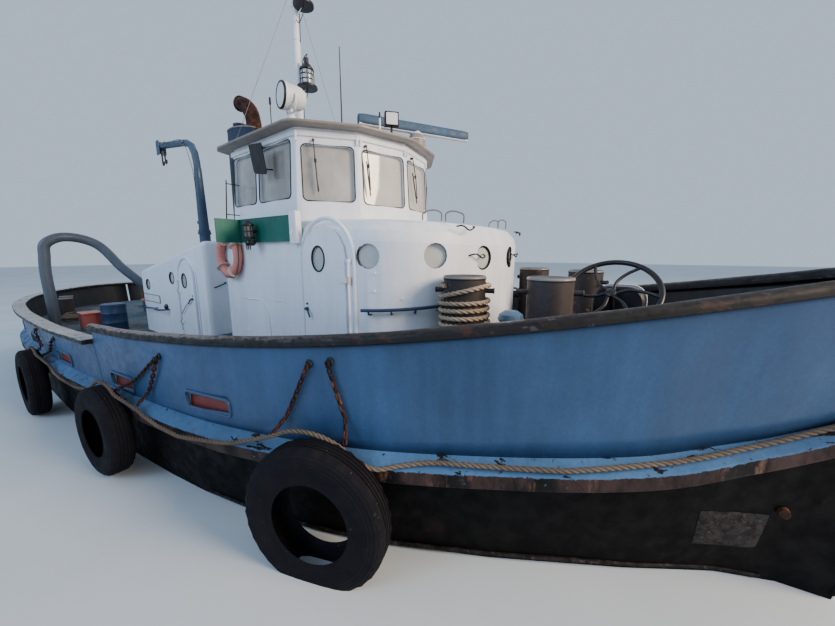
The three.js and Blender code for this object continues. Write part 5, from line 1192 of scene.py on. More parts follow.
class TUG_OT_port_frames(bpy.types.Operator):
    """Frame the freeing ports and hang the red flap inside each"""
    bl_idname = "tug.port_frames"
    bl_label = "Freeing port frames"

    def execute(self, context):
        borders, flaps = [], []
        for x, width in PORTS:
            low, high = line(DECK_Z, x) + PORT_LOW, line(DECK_Z, x) + PORT_HIGH
            loop = rounded(width + 0.03, high - low + 0.03, 0.045, 6) + (x, (low + high) / 2)
            path = on_side(loop[:, 0], loop[:, 1], 0.01)
            borders.append(swept(path, rounded(0.026, 0.022, 0.006, 3), closed=True, up=(0, 1, 0)))
            x0, x1 = x - width / 2 - 0.02, x + width / 2 + 0.02
            side = on_side(array([x0, x1]), array([low, low])) + (0, 0.034, 0)
            along = side[1] - side[0]
            wide = np.linalg.norm(along)
            flap = rounded(wide, high - low + 0.05, 0.02) + (wide / 2, (high - low) / 2)
            flaps.append(plate(flap, 0.008, side[0], along, (0, 0.06, 1)))
        add("port_frames", both(borders), "side_blue")
        add("port_flaps", both(flaps), "flap_red")
        return {"FINISHED"}


class TUG_OT_stem(bpy.types.Operator):
    """Make the stem bar down the bow"""
    bl_idname = "tug.stem"
    bl_label = "Stem bar"

    def execute(self, context):
        z = linspace(2.68, 0.05, 40)
        path = stack([raked(np.full_like(z, 8.49), z) - 0.012, 0 * z, z], axis=-1)
        add("stem_bar", [swept(path, rounded(0.07, 0.05, 0.022, 5), up=(1, 0, 0))], "hull_paint")
        return {"FINISHED"}


def mitred(plan, inset):
    """A closed plan drawn in: each corner moves along the sum of its walls' normals, over one plus their
    product."""
    edge = unit(np.roll(plan, -1, axis=0) - plan)
    normal = stack([edge[:, 1], -edge[:, 0]], axis=-1)
    before = np.roll(normal, 1, axis=0)
    return plan - inset * (before + normal) / (1 + (before * normal).sum(axis=1, keepdims=True))


def wheel_wall(wall):
    """Foot corner, unit direction, length, outward normal and upward slope of a wheelhouse wall."""
    a, b = WHEEL_PLAN[wall], WHEEL_PLAN[(wall + 1) % len(WHEEL_PLAN)]
    along = unit(b - a)
    normal = array([along[1], -along[0], 0.0])
    rise = unit(array([*(-normal[:2] * WHEEL_LEAN), WHEEL_TOP - WHEEL_BASE]))
    return array([*a, WHEEL_BASE]), array([*along, 0.0]), np.linalg.norm(b - a), normal, rise


def window_loop(window, grow):
    """Rounded outline of a window on its wall, in the wall's own plane, a little larger than the opening."""
    wall, start, end, foot, head = window
    origin, along, span, normal, rise = wheel_wall(wall)
    loop = rounded((end - start) * span + 2 * grow, (head - foot) + 2 * grow, 0.055 + grow, 8)
    loop = loop + ((start + end) / 2 * span, (foot + head) / 2 - WHEEL_BASE)
    tall = 1 / rise[2]
    return origin + along * loop[:, :1] + rise * loop[:, 1:] * tall, normal, rise


class TUG_OT_windows(bpy.types.Operator):
    """Bed the wheelhouse windows in black gaskets and hang their wipers"""
    bl_idname = "tug.windows"
    bl_label = "Window gaskets and wipers"

    def execute(self, context):
        width = sizes().gasket
        gaskets, wipers = [], []
        for window in WINDOWS:
            loop, normal, rise = window_loop(window, width * 0.2)
            section = rounded(width, 0.012, 0.005, 3)
            gaskets.append(swept(loop + normal * 0.003, section[:, ::-1], closed=True,
                                 up=cross(normal, rise)))
        wiped_panes = ((2, 0.23, 0.28), (3, 0.07, 0.13), (4, 0.2, 0.38), (5, 0.77, 0.72))
        for number, share_along, tip_share in wiped_panes:
            wall, start, end, foot, head = WINDOWS[number]
            origin, along, span, normal, rise = wheel_wall(wall)
            at_head, at_foot = start + (end - start) * share_along, start + (end - start) * tip_share
            base = origin + along * span * at_head + rise * (head - WHEEL_BASE + 0.045)
            tip = origin + along * span * at_foot + rise * (foot + 0.16 - WHEEL_BASE)
            base, tip = base + normal * 0.004, tip + normal * 0.014
            wipers.append(bar(base, base + normal * 0.035, 0.016, 0.013))
            wipers.append(tube([base + normal * 0.03, (base + tip) / 2 + normal * 0.034,
                                tip + normal * 0.014], 0.0065, 10, 8))
            blade = unit(tip - base)
            knob = base + (tip - base) * 0.45 + normal * 0.031
            wipers.append(bar(knob - blade * 0.018, knob + blade * 0.022, 0.016, 0.013))
            wipers.append(tube([tip - blade * 0.34, tip + blade * 0.06], 0.0085, 4, 8))
        add("window_gaskets", gaskets, "gasket")
        add("wipers", wipers, "gear_black")
        return {"FINISHED"}


class TUG_OT_roof_band(bpy.types.Operator):
    """Run the white drip band under the wheelhouse brim, with its brackets"""
    bl_idname = "tug.roof_band"
    bl_label = "Band under the brim"

    def execute(self, context):
        foot = mitred(WHEEL_PLAN, WHEEL_LEAN - 0.001)
        loop = np.column_stack([foot, np.full(len(foot), 4.012)])
        dense = concatenate([a + (b - a) * linspace(0.03, 0.97, 12)[:, None]
                             for a, b in zip(loop, np.roll(loop, -1, axis=0))])
        section = array([(-0.012, -0.03), (0.02, -0.03), (0.026, -0.024), (0.026, 0.022), (0.018, 0.034),
                         (-0.012, 0.05)])
        tabs = []
        for wall in range(7):
            origin, along, span, normal, rise = wheel_wall(wall)
            for share_along in (0.46,) if wall in (0, 5, 6) else (0.04, 0.96):
                at = origin + along * span * share_along + rise * (4.01 - WHEEL_BASE)
                tabs.append(swept(array([at + normal * 0.014 - UP * 0.085, at + normal * 0.014 + UP * 0.02]),
                                  rounded(0.03, 0.024, 0.006, 2), up=along))
        add("roof_band", [carried(dense, section, closed=True, soften=1)] + tabs, "trim_white")
        return {"FINISHED"}


def arch(x0, x1, z0, z1, steps=24):
    """Open outline of a round-headed doorway, from one foot over the head to the other."""
    radius, middle = (x1 - x0) / 2, (x0 + x1) / 2
    a = linspace(pi, 0, steps)
    head = stack([middle + radius * cos(a), z1 - radius + radius * sin(a)], axis=-1)
    return concatenate([[(x0, z0)], head, [(x1, z0)]])


def house_wall(t, z, out=0.0):
    """Points on the deckhouse's curved front and starboard side: t is 0 dead ahead and a quarter turn abeam,
    the plan a superellipse x = 4.05 + 0.9 cos(t)^0.86, y = -1.42 sin(t)^0.86, and out the distance off the
    wall along its normal."""
    t, z = np.broadcast_arrays(np.asarray(t, float), np.asarray(z, float))
    ahead, abeam = np.maximum(cos(t), 1e-4), np.maximum(sin(t), 1e-4)
    reach, power = HOUSE_FRONT - HOUSE_STRAIGHT, 0.86
    n = unit(stack([ahead ** (2 - power) * HOUSE_HALF, -(abeam ** (2 - power)) * reach, 0 * t], axis=-1))
    wall = stack([HOUSE_STRAIGHT + reach * ahead**power, -HOUSE_HALF * abeam**power, z], axis=-1)
    return wall + n * np.asarray(out)[..., None]


def rim(radius, centre, normal, width=0.018, proud=0.01, deep=0.03):
    """Flat ring with a rounded face round a porthole, reaching back into the wall."""
    outer = radius + width
    profile = [(radius * 0.97, -deep), (radius * 0.97, proud * 0.6), (radius + 0.003, proud),
               (outer - 0.004, proud), (outer, proud * 0.5), (outer, -deep)]
    return turned(profile, centre, normal, 56, closed=True)


def disc(radius, centre, normal, at=-0.016, thick=0.007):
    """Round pane, its middle a little fuller than its edge."""
    profile = [(0.0005, at), (radius * 0.5, at - 0.0006), (radius, at - 0.002), (radius, at - thick),
               (0.0005, at - thick)]
    return turned(profile, centre, normal, 48)


def oval(x, z, wide, tall, steps=48):
    a = np.arange(steps) / steps * 2 * pi
    return stack([x + wide * cos(a), z + tall * sin(a)], axis=-1)


def on_plane(outline, y):
    """An outline of (X, Z) laid on the upright plane at Y."""
    return stack([outline[:, 0], np.full(len(outline), y), outline[:, 1]], axis=-1)


class TUG_OT_portholes(bpy.types.Operator):
    """Set rims and panes in the portholes of the deckhouse and the casing"""
    bl_idname = "tug.portholes"
    bl_label = "Portholes"

    def execute(self, context):
        rims, panes = [], []
        for x, y, angle, z, radius in FRONT_LIGHTS:
            normal = bearing(radians(-angle))
            rims.append(rim(radius, (x, -y, z), normal, 0.013, 0.017, 0.045))
            panes.append(disc(radius * 0.99, array([x, -y, z]), normal, -0.004))
        for x, z, radius in CASING_LIGHTS:
            centre = array([x, -CASING_HALF, z])
            rims.append(rim(radius, centre, (0, -1, 0), 0.012, 0.008))
            panes.append(disc(radius * 0.99, centre, (0, -1, 0), -0.014))
        add("porthole_rims", both(rims), "gasket")
        add("porthole_panes", both(panes), "port_glass")
        return {"FINISHED"}


class TUG_OT_doors(bpy.types.Operator):
    """Frame the four doors with round-headed mouldings and fit lights, hinges and latches"""
    bl_idname = "tug.doors"
    bl_label = "Doors and their mouldings"

    def execute(self, context):
        mouldings = []
        for house, x0, x1, z0, z1, half, hinge in DOORS:
            fore = hinge > x1
            low, high = (x0 - 0.055, hinge + 0.046) if fore else (hinge - 0.046, x1 + 0.055)
            path = arch(low, high, z0 - 0.1, z1 + 0.075, 34)
            mouldings.append(swept(even(on_plane(path, -half - 0.002), 0.03), circle(0.021, 14),
                                   up=(0, 1, 0)))
            sill = on_plane(array([(x0, z0 - 0.02), (x1, z0 - 0.02)]), -half - 0.004)
            mouldings.append(swept(sill, rounded(0.03, 0.024, 0.008, 3), up=(0, 1, 0)))
            face, middle = -(half + 0.038), (x0 + x1) / 2 - 0.06
            light = oval(middle, z1 - 0.33, 0.099, 0.129)
            frame = swept(on_plane(light, face), rounded(0.016, 0.02, 0.006, 3), closed=True, up=(0, 1, 0))
            pane = plate(oval(0, 0, 0.094, 0.124), 0.006, (middle, face + 0.02, z1 - 0.33), (1, 0, 0),
                         (0, 0, 1), 0.001)
            sleeves = [post(hinge, face - 0.006, z - 0.004, z + 0.064, 0.021) for z in (z0 + 0.24, z1 - 0.56)]
            sleeves += [ring((hinge, face - 0.006, z), UP, 0.017, 0.005, 24, 8)
                        for z in (z0 + 0.3, z1 - 0.5, z1 - 0.56)]
            edge = x0 + 0.055 if fore else x1 - 0.075
            level = 2.09 if fore else 1.88
            latch = [bar((edge, face + 0.004, level), (edge, face - 0.034, level), 0.02, 0.016),
                     tube([(edge, face - 0.03, level),
                           (edge + (0.04 if fore else -0.05), face - 0.036, level - 0.02),
                           (edge + (0.07 if fore else -0.12), face - 0.03, level - 0.09)], 0.009, 12, 10),
                     bar((edge, face + 0.002, level + 0.055), (edge, face - 0.01, level + 0.055),
                         0.013, 0.011)]
            for side, sign in SIDES:
                pieces = (("light", [frame], "gasket"), ("pane", [pane], "port_glass"),
                          ("sleeves", sleeves, "beige_fitting"), ("latch", latch, "dark_blue"))
                for part, surfaces, finish in pieces:
                    add(f"{house}_door_{part}_{side}", to_side(sign, surfaces), finish,
                        f"{house}_door_{side}_body")
        add("door_mouldings", both(mouldings), "house_white", sharp=60)
        return {"FINISHED"}


class TUG_OT_house_rails(bpy.types.Operator):
    """Put the blue handrails, rungs, grips and small mouldings on the deckhouse"""
    bl_idname = "tug.house_rails"
    bl_label = "Handrails, rungs and mouldings"

    def execute(self, context):
        s = sizes()
        t = linspace(1.447, 0.5, 14)
        z = 2.15 + 0.055 * (1.447 - t)
        path, wall = house_wall(t, z, 0.058), house_wall(t, z - 0.02, -0.004)
        rails = [swept(curve(path, 60), rounded(0.036, 0.03, 0.01, 3), up=UP)]
        for k in (1, 4, 7, 10, 13):
            foot = wall[k]
            rails.append(tube([path[k] - UP * 0.006, path[k] - UP * 0.032, foot - UP * 0.028],
                              s.handrail * 0.55, 8, 10))
        add("house_handrails", both(rails), "dark_blue")
        dark = []
        for t_mid, z_mid, span in ((0.44, 2.93, 0.09), (0.3, 2.66, 0.085)):
            t = linspace(t_mid + span, t_mid - span, 9)
            bow = 0.055 * np.clip(sin(linspace(0, pi, 9)) * 2.2, 0, 1)
            dark.append(swept(curve(house_wall(t, z_mid + 0.02 * sin(t * 40), bow), 40), circle(0.008, 10)))
        grips = [tube([(4.45, -0.8, 3.02), (4.455, -0.795, 3.09), (4.48, -0.785, 3.105), (4.59, -0.725, 3.11),
                       (4.615, -0.715, 3.095), (4.62, -0.71, 3.01)], 0.008, 32, 10),
                 tube([(4.64, -0.66, 3.01), (4.645, -0.655, 3.09), (4.67, -0.64, 3.105),
                       (4.76, -0.575, 3.095), (4.785, -0.56, 3.08), (4.79, -0.555, 2.99)], 0.008, 32, 10)]
        add("house_rungs", both(dark), "gear_black")
        add("house_grips", both(grips), "steel_worn")
        trim = []
        locker = [(2.08, 2.085), (2.25, 2.1), (2.42, 2.08), (2.52, 1.97), (2.55, 1.8), (2.555, 1.56)]
        trim.append(tube(on_plane(array(locker), -HOUSE_HALF - 0.001), 0.009, 40, 10))
        for x, z, wide in ((2.02, 2.1, 0.12), (2.74, 2.12, 0.16), (2.02, 1.66, 0.1), (1.92, 2.36, 0.05),
                           (3.2, 1.64, 0.08)):
            trim.append(plate(rounded(wide, 0.022, 0.01, 4), 0.01, (x, -HOUSE_HALF + 0.004, z), (1, 0, 0),
                              (0, 0, 1)))
        for t, z in ((1.33, 2.5), (1.34, 2.33), (1.05, 2.26)):
            trim.append(bar(house_wall(t, z, -0.004), house_wall(t, z, 0.012), 0.014, 0.01))
        add("house_trim", both(trim), "trim_white")
        seam = linspace(pi / 2 - 0.02, 0.0, 40)
        foot = house_wall(seam, 1.4 + 0.02 * cos(seam), 0.002)
        path = concatenate([[(1.62, -HOUSE_HALF - 0.002, 1.36)], foot])
        add("house_foot_strip", both([swept(even(path, 0.08), rounded(0.026, 0.012, 0.004, 2), up=UP)]),
            "house_white")
        return {"FINISHED"}


class TUG_OT_mirror(bpy.types.Operator):
    """Hang the black plate by the side windows and the thin rods at the after corner"""
    bl_idname = "tug.mirror"
    bl_label = "Mirror plate and rods"

    def execute(self, context):
        outline = array([(2.245, 3.985), (2.515, 3.965), (2.57, 3.64), (2.545, 3.61), (2.33, 3.64),
                         (2.3, 3.665)])
        panel = plate(outline - (2.4, 3.8), 0.014, (2.4, -1.335, 3.8), (1, 0, 0), (0, -0.05, 1), 0.003)
        arms = [tube([(2.3, -1.19, 3.97), (2.33, -1.26, 3.99), (2.36, -1.325, 3.96)], 0.008, 12, 10),
                tube([(2.46, -1.18, 3.7), (2.46, -1.26, 3.69), (2.45, -1.325, 3.7)], 0.008, 12, 10)]
        rods = [bar((1.638, -1.41, 2.93), (1.623, -1.35, 3.647), 0.009, 0.007)]
        for z, y in ((3.2, -1.39), (3.6, -1.355)):
            rods.append(bar((1.632, y, z), (1.632, -1.18, z), 0.006))
        add("mirror_plate", [panel] + arms, "gasket")
        add("corner_rods", both(rods), "gear_black")
        return {"FINISHED"}


# Lamps on the roof: place, and bearing in degrees from ahead towards port
SEARCHLIGHT_AT, SEARCHLIGHT_FACES = (2.39, -0.82, 4.65), -104
FLOODLIGHT_AT, FLOODLIGHT_FACES = (3.56, -0.215, 4.3175), -40


class TUG_OT_lamps(bpy.types.Operator):
    """Make the searchlight, glaze the floodlight and set the aerials on the roof"""
    bl_idname = "tug.lamps"
    bl_label = "Searchlight, floodlight and aerials"

    def execute(self, context):
        axis = bearing(radians(SEARCHLIGHT_FACES))
        x, y, _ = centre = array(SEARCHLIGHT_AT)
        shell = turned([(0.0005, -0.19), (0.06, -0.186), (0.105, -0.165), (0.135, -0.12), (0.148, -0.06),
                        (0.15, 0.06), (0.163, 0.07), (0.165, 0.11), (0.15, 0.124), (0.146, 0.116),
                        (0.0005, 0.112)], centre, axis, 56)
        stand = [post(x, y, 4.3905, 4.43, 0.051, 0.048), post(x, y, 4.42, 4.512, 0.032)]
        add("searchlight_shell", [shell] + stand, "trim_white", "searchlight_body",
            replaces="searchlight")
        lens = turned([(0.0005, 0.1335), (0.08, 0.1325), (0.146, 0.13), (0.146, 0.118), (0.0005, 0.118)],
                      centre, axis, 48)
        edge = turned([(0.14, 0.118), (0.14, 0.134), (0.15, 0.137), (0.16, 0.132), (0.1645, 0.12),
                       (0.1645, 0.108), (0.15, 0.104)], centre, axis, 48, closed=True)
        strap = turned([(0.1495, 0.035), (0.1535, 0.038), (0.1535, 0.05), (0.1495, 0.053)], centre, axis, 48,
                       closed=True)
        arm = cross(axis, UP)
        yoke = [tube([centre - UP * 0.2, centre + arm * 0.12 * s - UP * 0.17,
                      centre + arm * 0.165 * s - UP * 0.06, centre + arm * 0.165 * s], 0.012, 20, 10)
                for s in (-1, 1)]
        fin = array([(0.128, -0.125), (0.134, -0.122), (0.128, -0.117)])
        fins = [turned(fin - (0.02 * k, 0.016 * k), centre, axis, 40, closed=True) for k in range(3)]
        add("searchlight_lens", [lens], "lens", "searchlight_body")
        add("searchlight_rim", [edge], "gear_black", "searchlight_body")
        add("searchlight_fins", fins + yoke + [strap], "trim_white", "searchlight_body")
        out = bearing(radians(FLOODLIGHT_FACES))
        side = cross(UP, out)
        place = array(FLOODLIGHT_AT)
        face = plate(rounded(0.142, 0.136, 0.012, 4), 0.006, place + out * 0.0395, side, UP, 0.001)
        border = rounded(0.15, 0.146, 0.016, 4)
        frame = swept(place + out * 0.04 + side * border[:, :1] + UP * border[:, 1:], circle(0.007, 10),
                      closed=True, up=out)
        add("floodlight_face", [face], "lens")
        add("floodlight_frame", [frame], "gear_black")
        white = [post(3.567, -0.44, 4.1, 4.285, 0.012, 0.011), post(3.567, -0.44, 4.1, 4.135, 0.026, 0.022),
                 post(2.24, -1.02, 4.13, 4.22, 0.022, 0.018),
                 turned([(0.0005, 0), (0.062, 0.004), (0.066, 0.02), (0.05, 0.042), (0.0005, 0.052)],
                        (2.9, 0.3, 4.215), UP, 32)]
        black = [post(3.567, -0.44, 4.27, 4.335, 0.013, 0.01), post(2.24, -1.02, 4.21, 4.56, 0.007, 0.006),
                 post(2.24, -1.02, 4.54, 4.62, 0.014, 0.012), post(2.5, -0.06, 4.262, 5.517, 0.0125, 0.0062)]
        add("roof_posts", white, "trim_white")
        add("roof_aerials", black, "gear_black")
        return {"FINISHED"}


RADAR_HUB, RADAR_POINTS = (3.25, 0.734, 4.44), 62


class TUG_OT_radar(bpy.types.Operator):
    """Make the turning radar bar with its white underside and foot, and the rings on its post"""
    bl_idname = "tug.radar"
    bl_label = "Radar bar"

    def execute(self, context):
        along, hub = bearing(radians(RADAR_POINTS)), array(RADAR_HUB)
        path = hub + along * linspace(-0.895, 0.895, 25)[:, None] + UP * 0.081
        taper = np.clip(1 - np.abs(linspace(-1, 1, 25)) ** 30 * 0.12, 0, 1)
        body = swept(path, rounded(0.1275, 0.15, 0.052, 8) * taper[:, None, None], up=UP)
        belly = swept(path - UP * 0.052, rounded(0.086, 0.048, 0.012, 3), up=UP)
        add("radar_bar", [body], "radar_blue", "radar_body", replaces="radar_scanner")
        foot = turned([(0.075, 0.0006), (0.078, 0.01), (0.06, 0.03), (0.06, 0.034)], hub, UP, 32)
        add("radar_belly", [belly, foot], "trim_white", "radar_body")
        ribs = [ring(hub - UP * z, UP, r, 0.006, 36, 8)
                for z, r in ((0.005, 0.092), (0.088, 0.14), (0.2, 0.147))]
        add("radar_post_rings", ribs, "trim_white")
        return {"FINISHED"}


# Mast: X of the pole and of its lanterns, height of each lantern
MAST_X, LANTERN_X, LANTERNS = 1.48, 1.69, (5.2, 6.33)


class TUG_OT_mast(bpy.types.Operator):
    """Make the mast with its bands and stays, its caged lanterns and their cables"""
    bl_idname = "tug.mast"
    bl_label = "Mast and lanterns"

    def execute(self, context):
        pole = [post(MAST_X, 0, 4.085, 7.03, 0.058, 0.0462, 40)]
        for z in LANTERNS:
            pole.append(bar((MAST_X, 0, z + 0.06), (1.62, 0, z + 0.06), 0.0175))
            pole.append(bar((1.5, 0, z - 0.1), (1.64, 0, z + 0.01), 0.008))
            pole.append(post(LANTERN_X, 0, z + 0.03, z + 0.28, 0.03, 0.026))
        add("mast_pole", pole, "trim_white", replaces="mast")
        wires = [bar((MAST_X, s * 0.02, 6.7), (1.42, s * 1.12, 4.105), sizes().stay, sides=8)
                 for s in (-1, 1)]
        wires += [bar((1.4235, s * 1.055, 4.26), (1.42, s * 1.12, 4.105), 0.007, sides=10) for s in (-1, 1)]
        add("mast_stays", wires, "steel_worn")
        glass, metal, cables = [], [], []
        for z in LANTERNS:
            at = array([LANTERN_X, 0, z])
            metal.append(turned([(0.093, 0.064), (0.14, 0.034), (0.154, 0.03), (0.156, 0.01), (0.15, -0.002),
                                 (0.0005, -0.002)], at, UP, 40))
            metal.append(turned([(0.093, 0.246), (0.109, 0.256), (0.11, 0.272), (0.06, 0.338), (0.038, 0.36),
                                 (0.038, 0.43), (0.0005, 0.434)], at, UP, 40))
            glass.append(turned([(0.0915, 0.062), (0.0925, 0.1), (0.0925, 0.21), (0.0915, 0.25)], at, UP, 40))
            for k in range(8):
                out = bearing(k * pi / 4 + 0.2)
                metal.append(tube([at + out * 0.1 + UP * 0.06, at + out * 0.103 + UP * 0.15,
                                   at + out * 0.101 + UP * 0.26], 0.005, 6, 6))
            metal += [ring(at + UP * h, UP, 0.103, 0.005, 32, 8) for h in (0.12, 0.19)]
            cables.append(tube([at + (0, 0, 0.42), at + (-0.04, 0.05, 0.52), at + (-0.13, 0.06, 0.5),
                                at + (-0.165, 0.03, 0.28), at + (-0.15, 0.03, 0.0),
                                at + (-0.155, 0.03, -0.42)], 0.006, 40, 8))
            cables.append(tube([at + (0.02, -0.02, 0.0), at + (0.05, -0.05, -0.12),
                                at + (-0.06, -0.05, -0.22), at + (-0.15, -0.03, -0.14)], 0.006, 28, 8))
        add("mast_lantern_bodies", metal, "gear_black")
        add("mast_lantern_glass", glass, "lantern_glass")
        band = array([(0.0585, -0.02), (0.066, -0.014), (0.066, 0.014), (0.0585, 0.02)])
        bands = [turned(band - (0.00445 * (z - 4.1), 0), (MAST_X, 0, z), UP, 32, closed=True)
                 for z in (4.45, 5.26, 5.95, 6.39, 6.7)]
        bands.append(turned([(0.045, 0), (0.052, 0.006), (0.052, 0.02), (0.0005, 0.048)], (MAST_X, 0, 7.0),
                            UP, 32))
        add("mast_bands", bands, "trim_white")
        add("mast_cables", cables, "gasket")
        return {"FINISHED"}


class TUG_OT_side_lights(bpy.types.Operator):
    """Fit the caged lanterns on the side light boards, with their lamps and white end boxes"""
    bl_idname = "tug.side_lights"
    bl_label = "Side lights"

    def execute(self, context):
        at = array([2.46, -1.56, 2.845])
        metal = [turned([(0.0005, 0), (0.066, 0.004), (0.07, 0.03), (0.05, 0.036)], at, UP, 32),
                 turned([(0.05, 0.156), (0.068, 0.162), (0.068, 0.18), (0.03, 0.206), (0.02, 0.222),
                         (0.0005, 0.224)], at, UP, 32), bar(at + (0, 0.03, 0.1), at + (0, 0.105, 0.1), 0.02)]
        glass = [turned([(0.049, 0.034), (0.05, 0.09), (0.049, 0.158)], at, UP, 32)]
        for k in range(8):
            out = bearing(k * pi / 4) * 0.059
            metal.append(bar(at + out + UP * 0.03, at + out + UP * 0.165, 0.005, sides=8))
        metal.append(ring(at + UP * 0.095, UP, 0.06, 0.0045, 32, 8))
        under = at + (-0.02, 0.03, -0.035)
        metal.append(bar(under + UP * 0.03, under - UP * 0.005, 0.052, 0.06))
        metal.append(bar(under - UP * 0.005, under - UP * 0.035, 0.062, 0.04))
        for dx in (-0.04, 0.0, 0.04):
            metal.append(bar(under + (dx, -0.03, -0.01), under + (dx, -0.03, -0.085), 0.008, 0.005, 10))
        white = [block((3.172, -1.494, 2.788), (3.292, -1.4205, 3.134), 0.006),
                 tube([(3.232, -1.494, 2.93), (3.232, -1.515, 2.9), (3.232, -1.494, 2.87)], 0.006, 12, 8)]
        edge = swept(even(array([(2.085, -1.462, 3.104), (3.165, -1.462, 3.104)]), 0.1),
                     rounded(0.022, 0.01, 0.004, 2), up=UP)
        add("side_lanterns", both(metal), "gear_black")
        add("side_lantern_glass", both(glass), "dark_glass")
        add("side_end_boxes", both(white + [edge]), "trim_white")
        return {"FINISHED"}


class TUG_OT_lifebuoy(bpy.types.Operator):
    """Hang the faded lifebuoy with its bands and grab line"""
    bl_idname = "tug.lifebuoy"
    bl_label = "Lifebuoy"

    def execute(self, context):
        low, high = (array(c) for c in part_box("lifebuoy"))
        centre, half = (low + high) / 2, (high - low) / 2
        thick = half[1] / 0.9
        a, b = linspace(0, 2 * pi, 73)[:-1], linspace(0, 2 * pi, 19)[:-1]
        wide, tall = half[0] - thick, half[2] - thick
        middle = stack([wide * cos(a), 0 * a, tall * sin(a)], axis=-1)
        out = stack([cos(a), 0 * a, sin(a)], axis=-1)
        lumpy = 1 - 0.05 * (1 + sin(7 * a + 1) * sin(3 * a)) / 2
        points = (centre + middle[:, None] + out[:, None] * (cos(b) * thick)[None, :, None]
                  * lumpy[:, None, None] + array([0, 1, 0]) * (sin(b) * half[1])[None, :, None])
        buoy = grid(points, wrap_u=True, wrap_v=True)
        add("lifebuoy_worn", [buoy], "lifebuoy_orange", replaces="lifebuoy", sharp=70)
        bands = []
        for angle in (0.6, 2.2, 3.9, 5.3):
            k = int(angle / (2 * pi) * 72)
            outward, across = (cos(b) * thick * 0.99)[:, None], (sin(b) * half[1])[:, None]
            loop = centre + middle[k] + out[k] * outward + array([0, 1, 0]) * across
            tangent = cross(out[k], (0, 1, 0))
            bands.append(swept(loop, rounded(0.07, 0.006, 0.002, 2), closed=True, up=tangent))
        line_path = centre + middle * 1.28 - (0, 0.02, 0) + out * (0.012 * sin(4 * a))[:, None]
        line_path = np.clip(line_path, low + 0.008, high - 0.008)
        add("lifebuoy_bands", bands, "buoy_band")
        add("lifebuoy_line", [swept(line_path, circle(0.006, 8), closed=True)], "rope_fibre")
        return {"FINISHED"}


class TUG_OT_exhaust(bpy.types.Operator):
    """Make the open exhaust elbow and rim the funnel and its vent pipe"""
    bl_idname = "tug.exhaust"
    bl_label = "Exhaust elbow and funnel rims"

    def execute(self, context):
        route = curve([(0.1, 0, 4.7), (0.105, 0, 5.02), (0.07, -0.012, 5.19), (-0.05, -0.036, 5.33),
                       (-0.21, -0.06, 5.4)], 36)
        side, over = frames(route)
        a = np.arange(32) / 32 * 2 * pi
        spoke = side[:, None] * cos(a)[:, None] + over[:, None] * sin(a)[:, None]
        wobble = 1 - 0.012 * (1 + sin(3 * a)) / 2
        outer, inner = (route[:, None] + spoke * (r * wobble)[:, None] for r in (0.13, 0.118))
        elbow = grid(concatenate([outer, inner[:8:-1]]), wrap_v=True, caps=True)
        axis = unit(route[-1] - route[-2])
        cuff = turned([(0.1185, -0.045), (0.134, -0.04), (0.134, 0.0), (0.1185, 0.004)],
                      route[-1] - axis * 0.006, axis, 36, closed=True)
        seam = [turned([(0.128, -0.006), (0.1335, 0), (0.128, 0.006)], route[k],
                       unit(route[k + 1] - route[k - 1]), 32, closed=True) for k in (12, 22)]
        add("exhaust_elbow_open", [elbow, cuff] + seam, "rusty_dark", replaces="exhaust_elbow")
        a = np.arange(64) / 64 * 2 * pi
        lip = stack([-0.18 + 0.402 * cos(a), 0.279 * sin(a), np.full(64, 4.915)], axis=-1)
        low = stack([-0.18 + 0.428 * cos(a), 0.298 * sin(a), np.full(64, 3.1)], axis=-1)
        rims = [swept(lip, circle(0.014, 10), closed=True, up=UP),
                swept(low, rounded(0.02, 0.05, 0.006, 2), closed=True, up=UP),
                ring((-0.38, 0, 5.078), UP, 0.112, 0.012, 36, 10)]
        add("funnel_rims", rims, "steel_worn")
        return {"FINISHED"}


DAVIT_AT = (-0.06, -0.96)


class TUG_OT_davit(bpy.types.Operator):
    """Hang the hooks and wires on the davit and bolt its collar"""
    bl_idname = "tug.davit"
    bl_label = "Davit fittings"

    def execute(self, context):
        (x, y), black, blue = DAVIT_AT, [], []
        for dx, drop in ((-1.432, 0.0), (-1.3, 0.03)):
            top = array([x + dx, y, 4.545 + (0.045 if dx > -1.4 else 0)])
            black.append(ring(top - UP * 0.035, (0, 1, 0), 0.026, 0.008, 24, 8))
            black.append(bar(top - UP * 0.055, top - UP * (0.14 + drop), 0.013))
            low = top - UP * (0.14 + drop)
            black.append(tube([low, low - (0, 0, 0.05), low + (0.03, 0, -0.085), low + (0.065, 0, -0.06),
                               low + (0.062, 0, -0.02)], 0.012, 20, 10))
        for k in range(8):
            at = (x, y, 3.0718) + bearing(k * pi / 4) * 0.078
            blue.append(bar(at - UP * 0.002, at + UP * 0.016, 0.01, 0.009, 6))
        wire = [(x - 0.045, y - 0.06, 3.2), (x - 0.075, y - 0.066, 4.12), (x - 0.36, y - 0.062, 4.57),
                (x - 0.8, y - 0.062, 4.63), (x - 1.4, y - 0.055, 4.66)]
        black.append(tube(wire, 0.004, 60, 6))
        for px, pz in ((x - 0.045, 3.2), (x - 0.36, 4.555)):
            blue.append(block((px - 0.03, y - 0.072, pz - 0.025), (px + 0.03, y - 0.048, pz + 0.025), 0.002))
        for dy in (-0.056, 0.05):
            blue.append(plate(rounded(0.15, 0.26, 0.03, 4), 0.006, (x - 1.43, y + dy + 0.003, 4.63),
                              (1, 0, 0), (0, 0, 1)))
        add("davit_hooks", black, "gear_black", "davit_body")
        add("davit_plates", blue, "gear_blue", "davit_body")
        return {"FINISHED"}


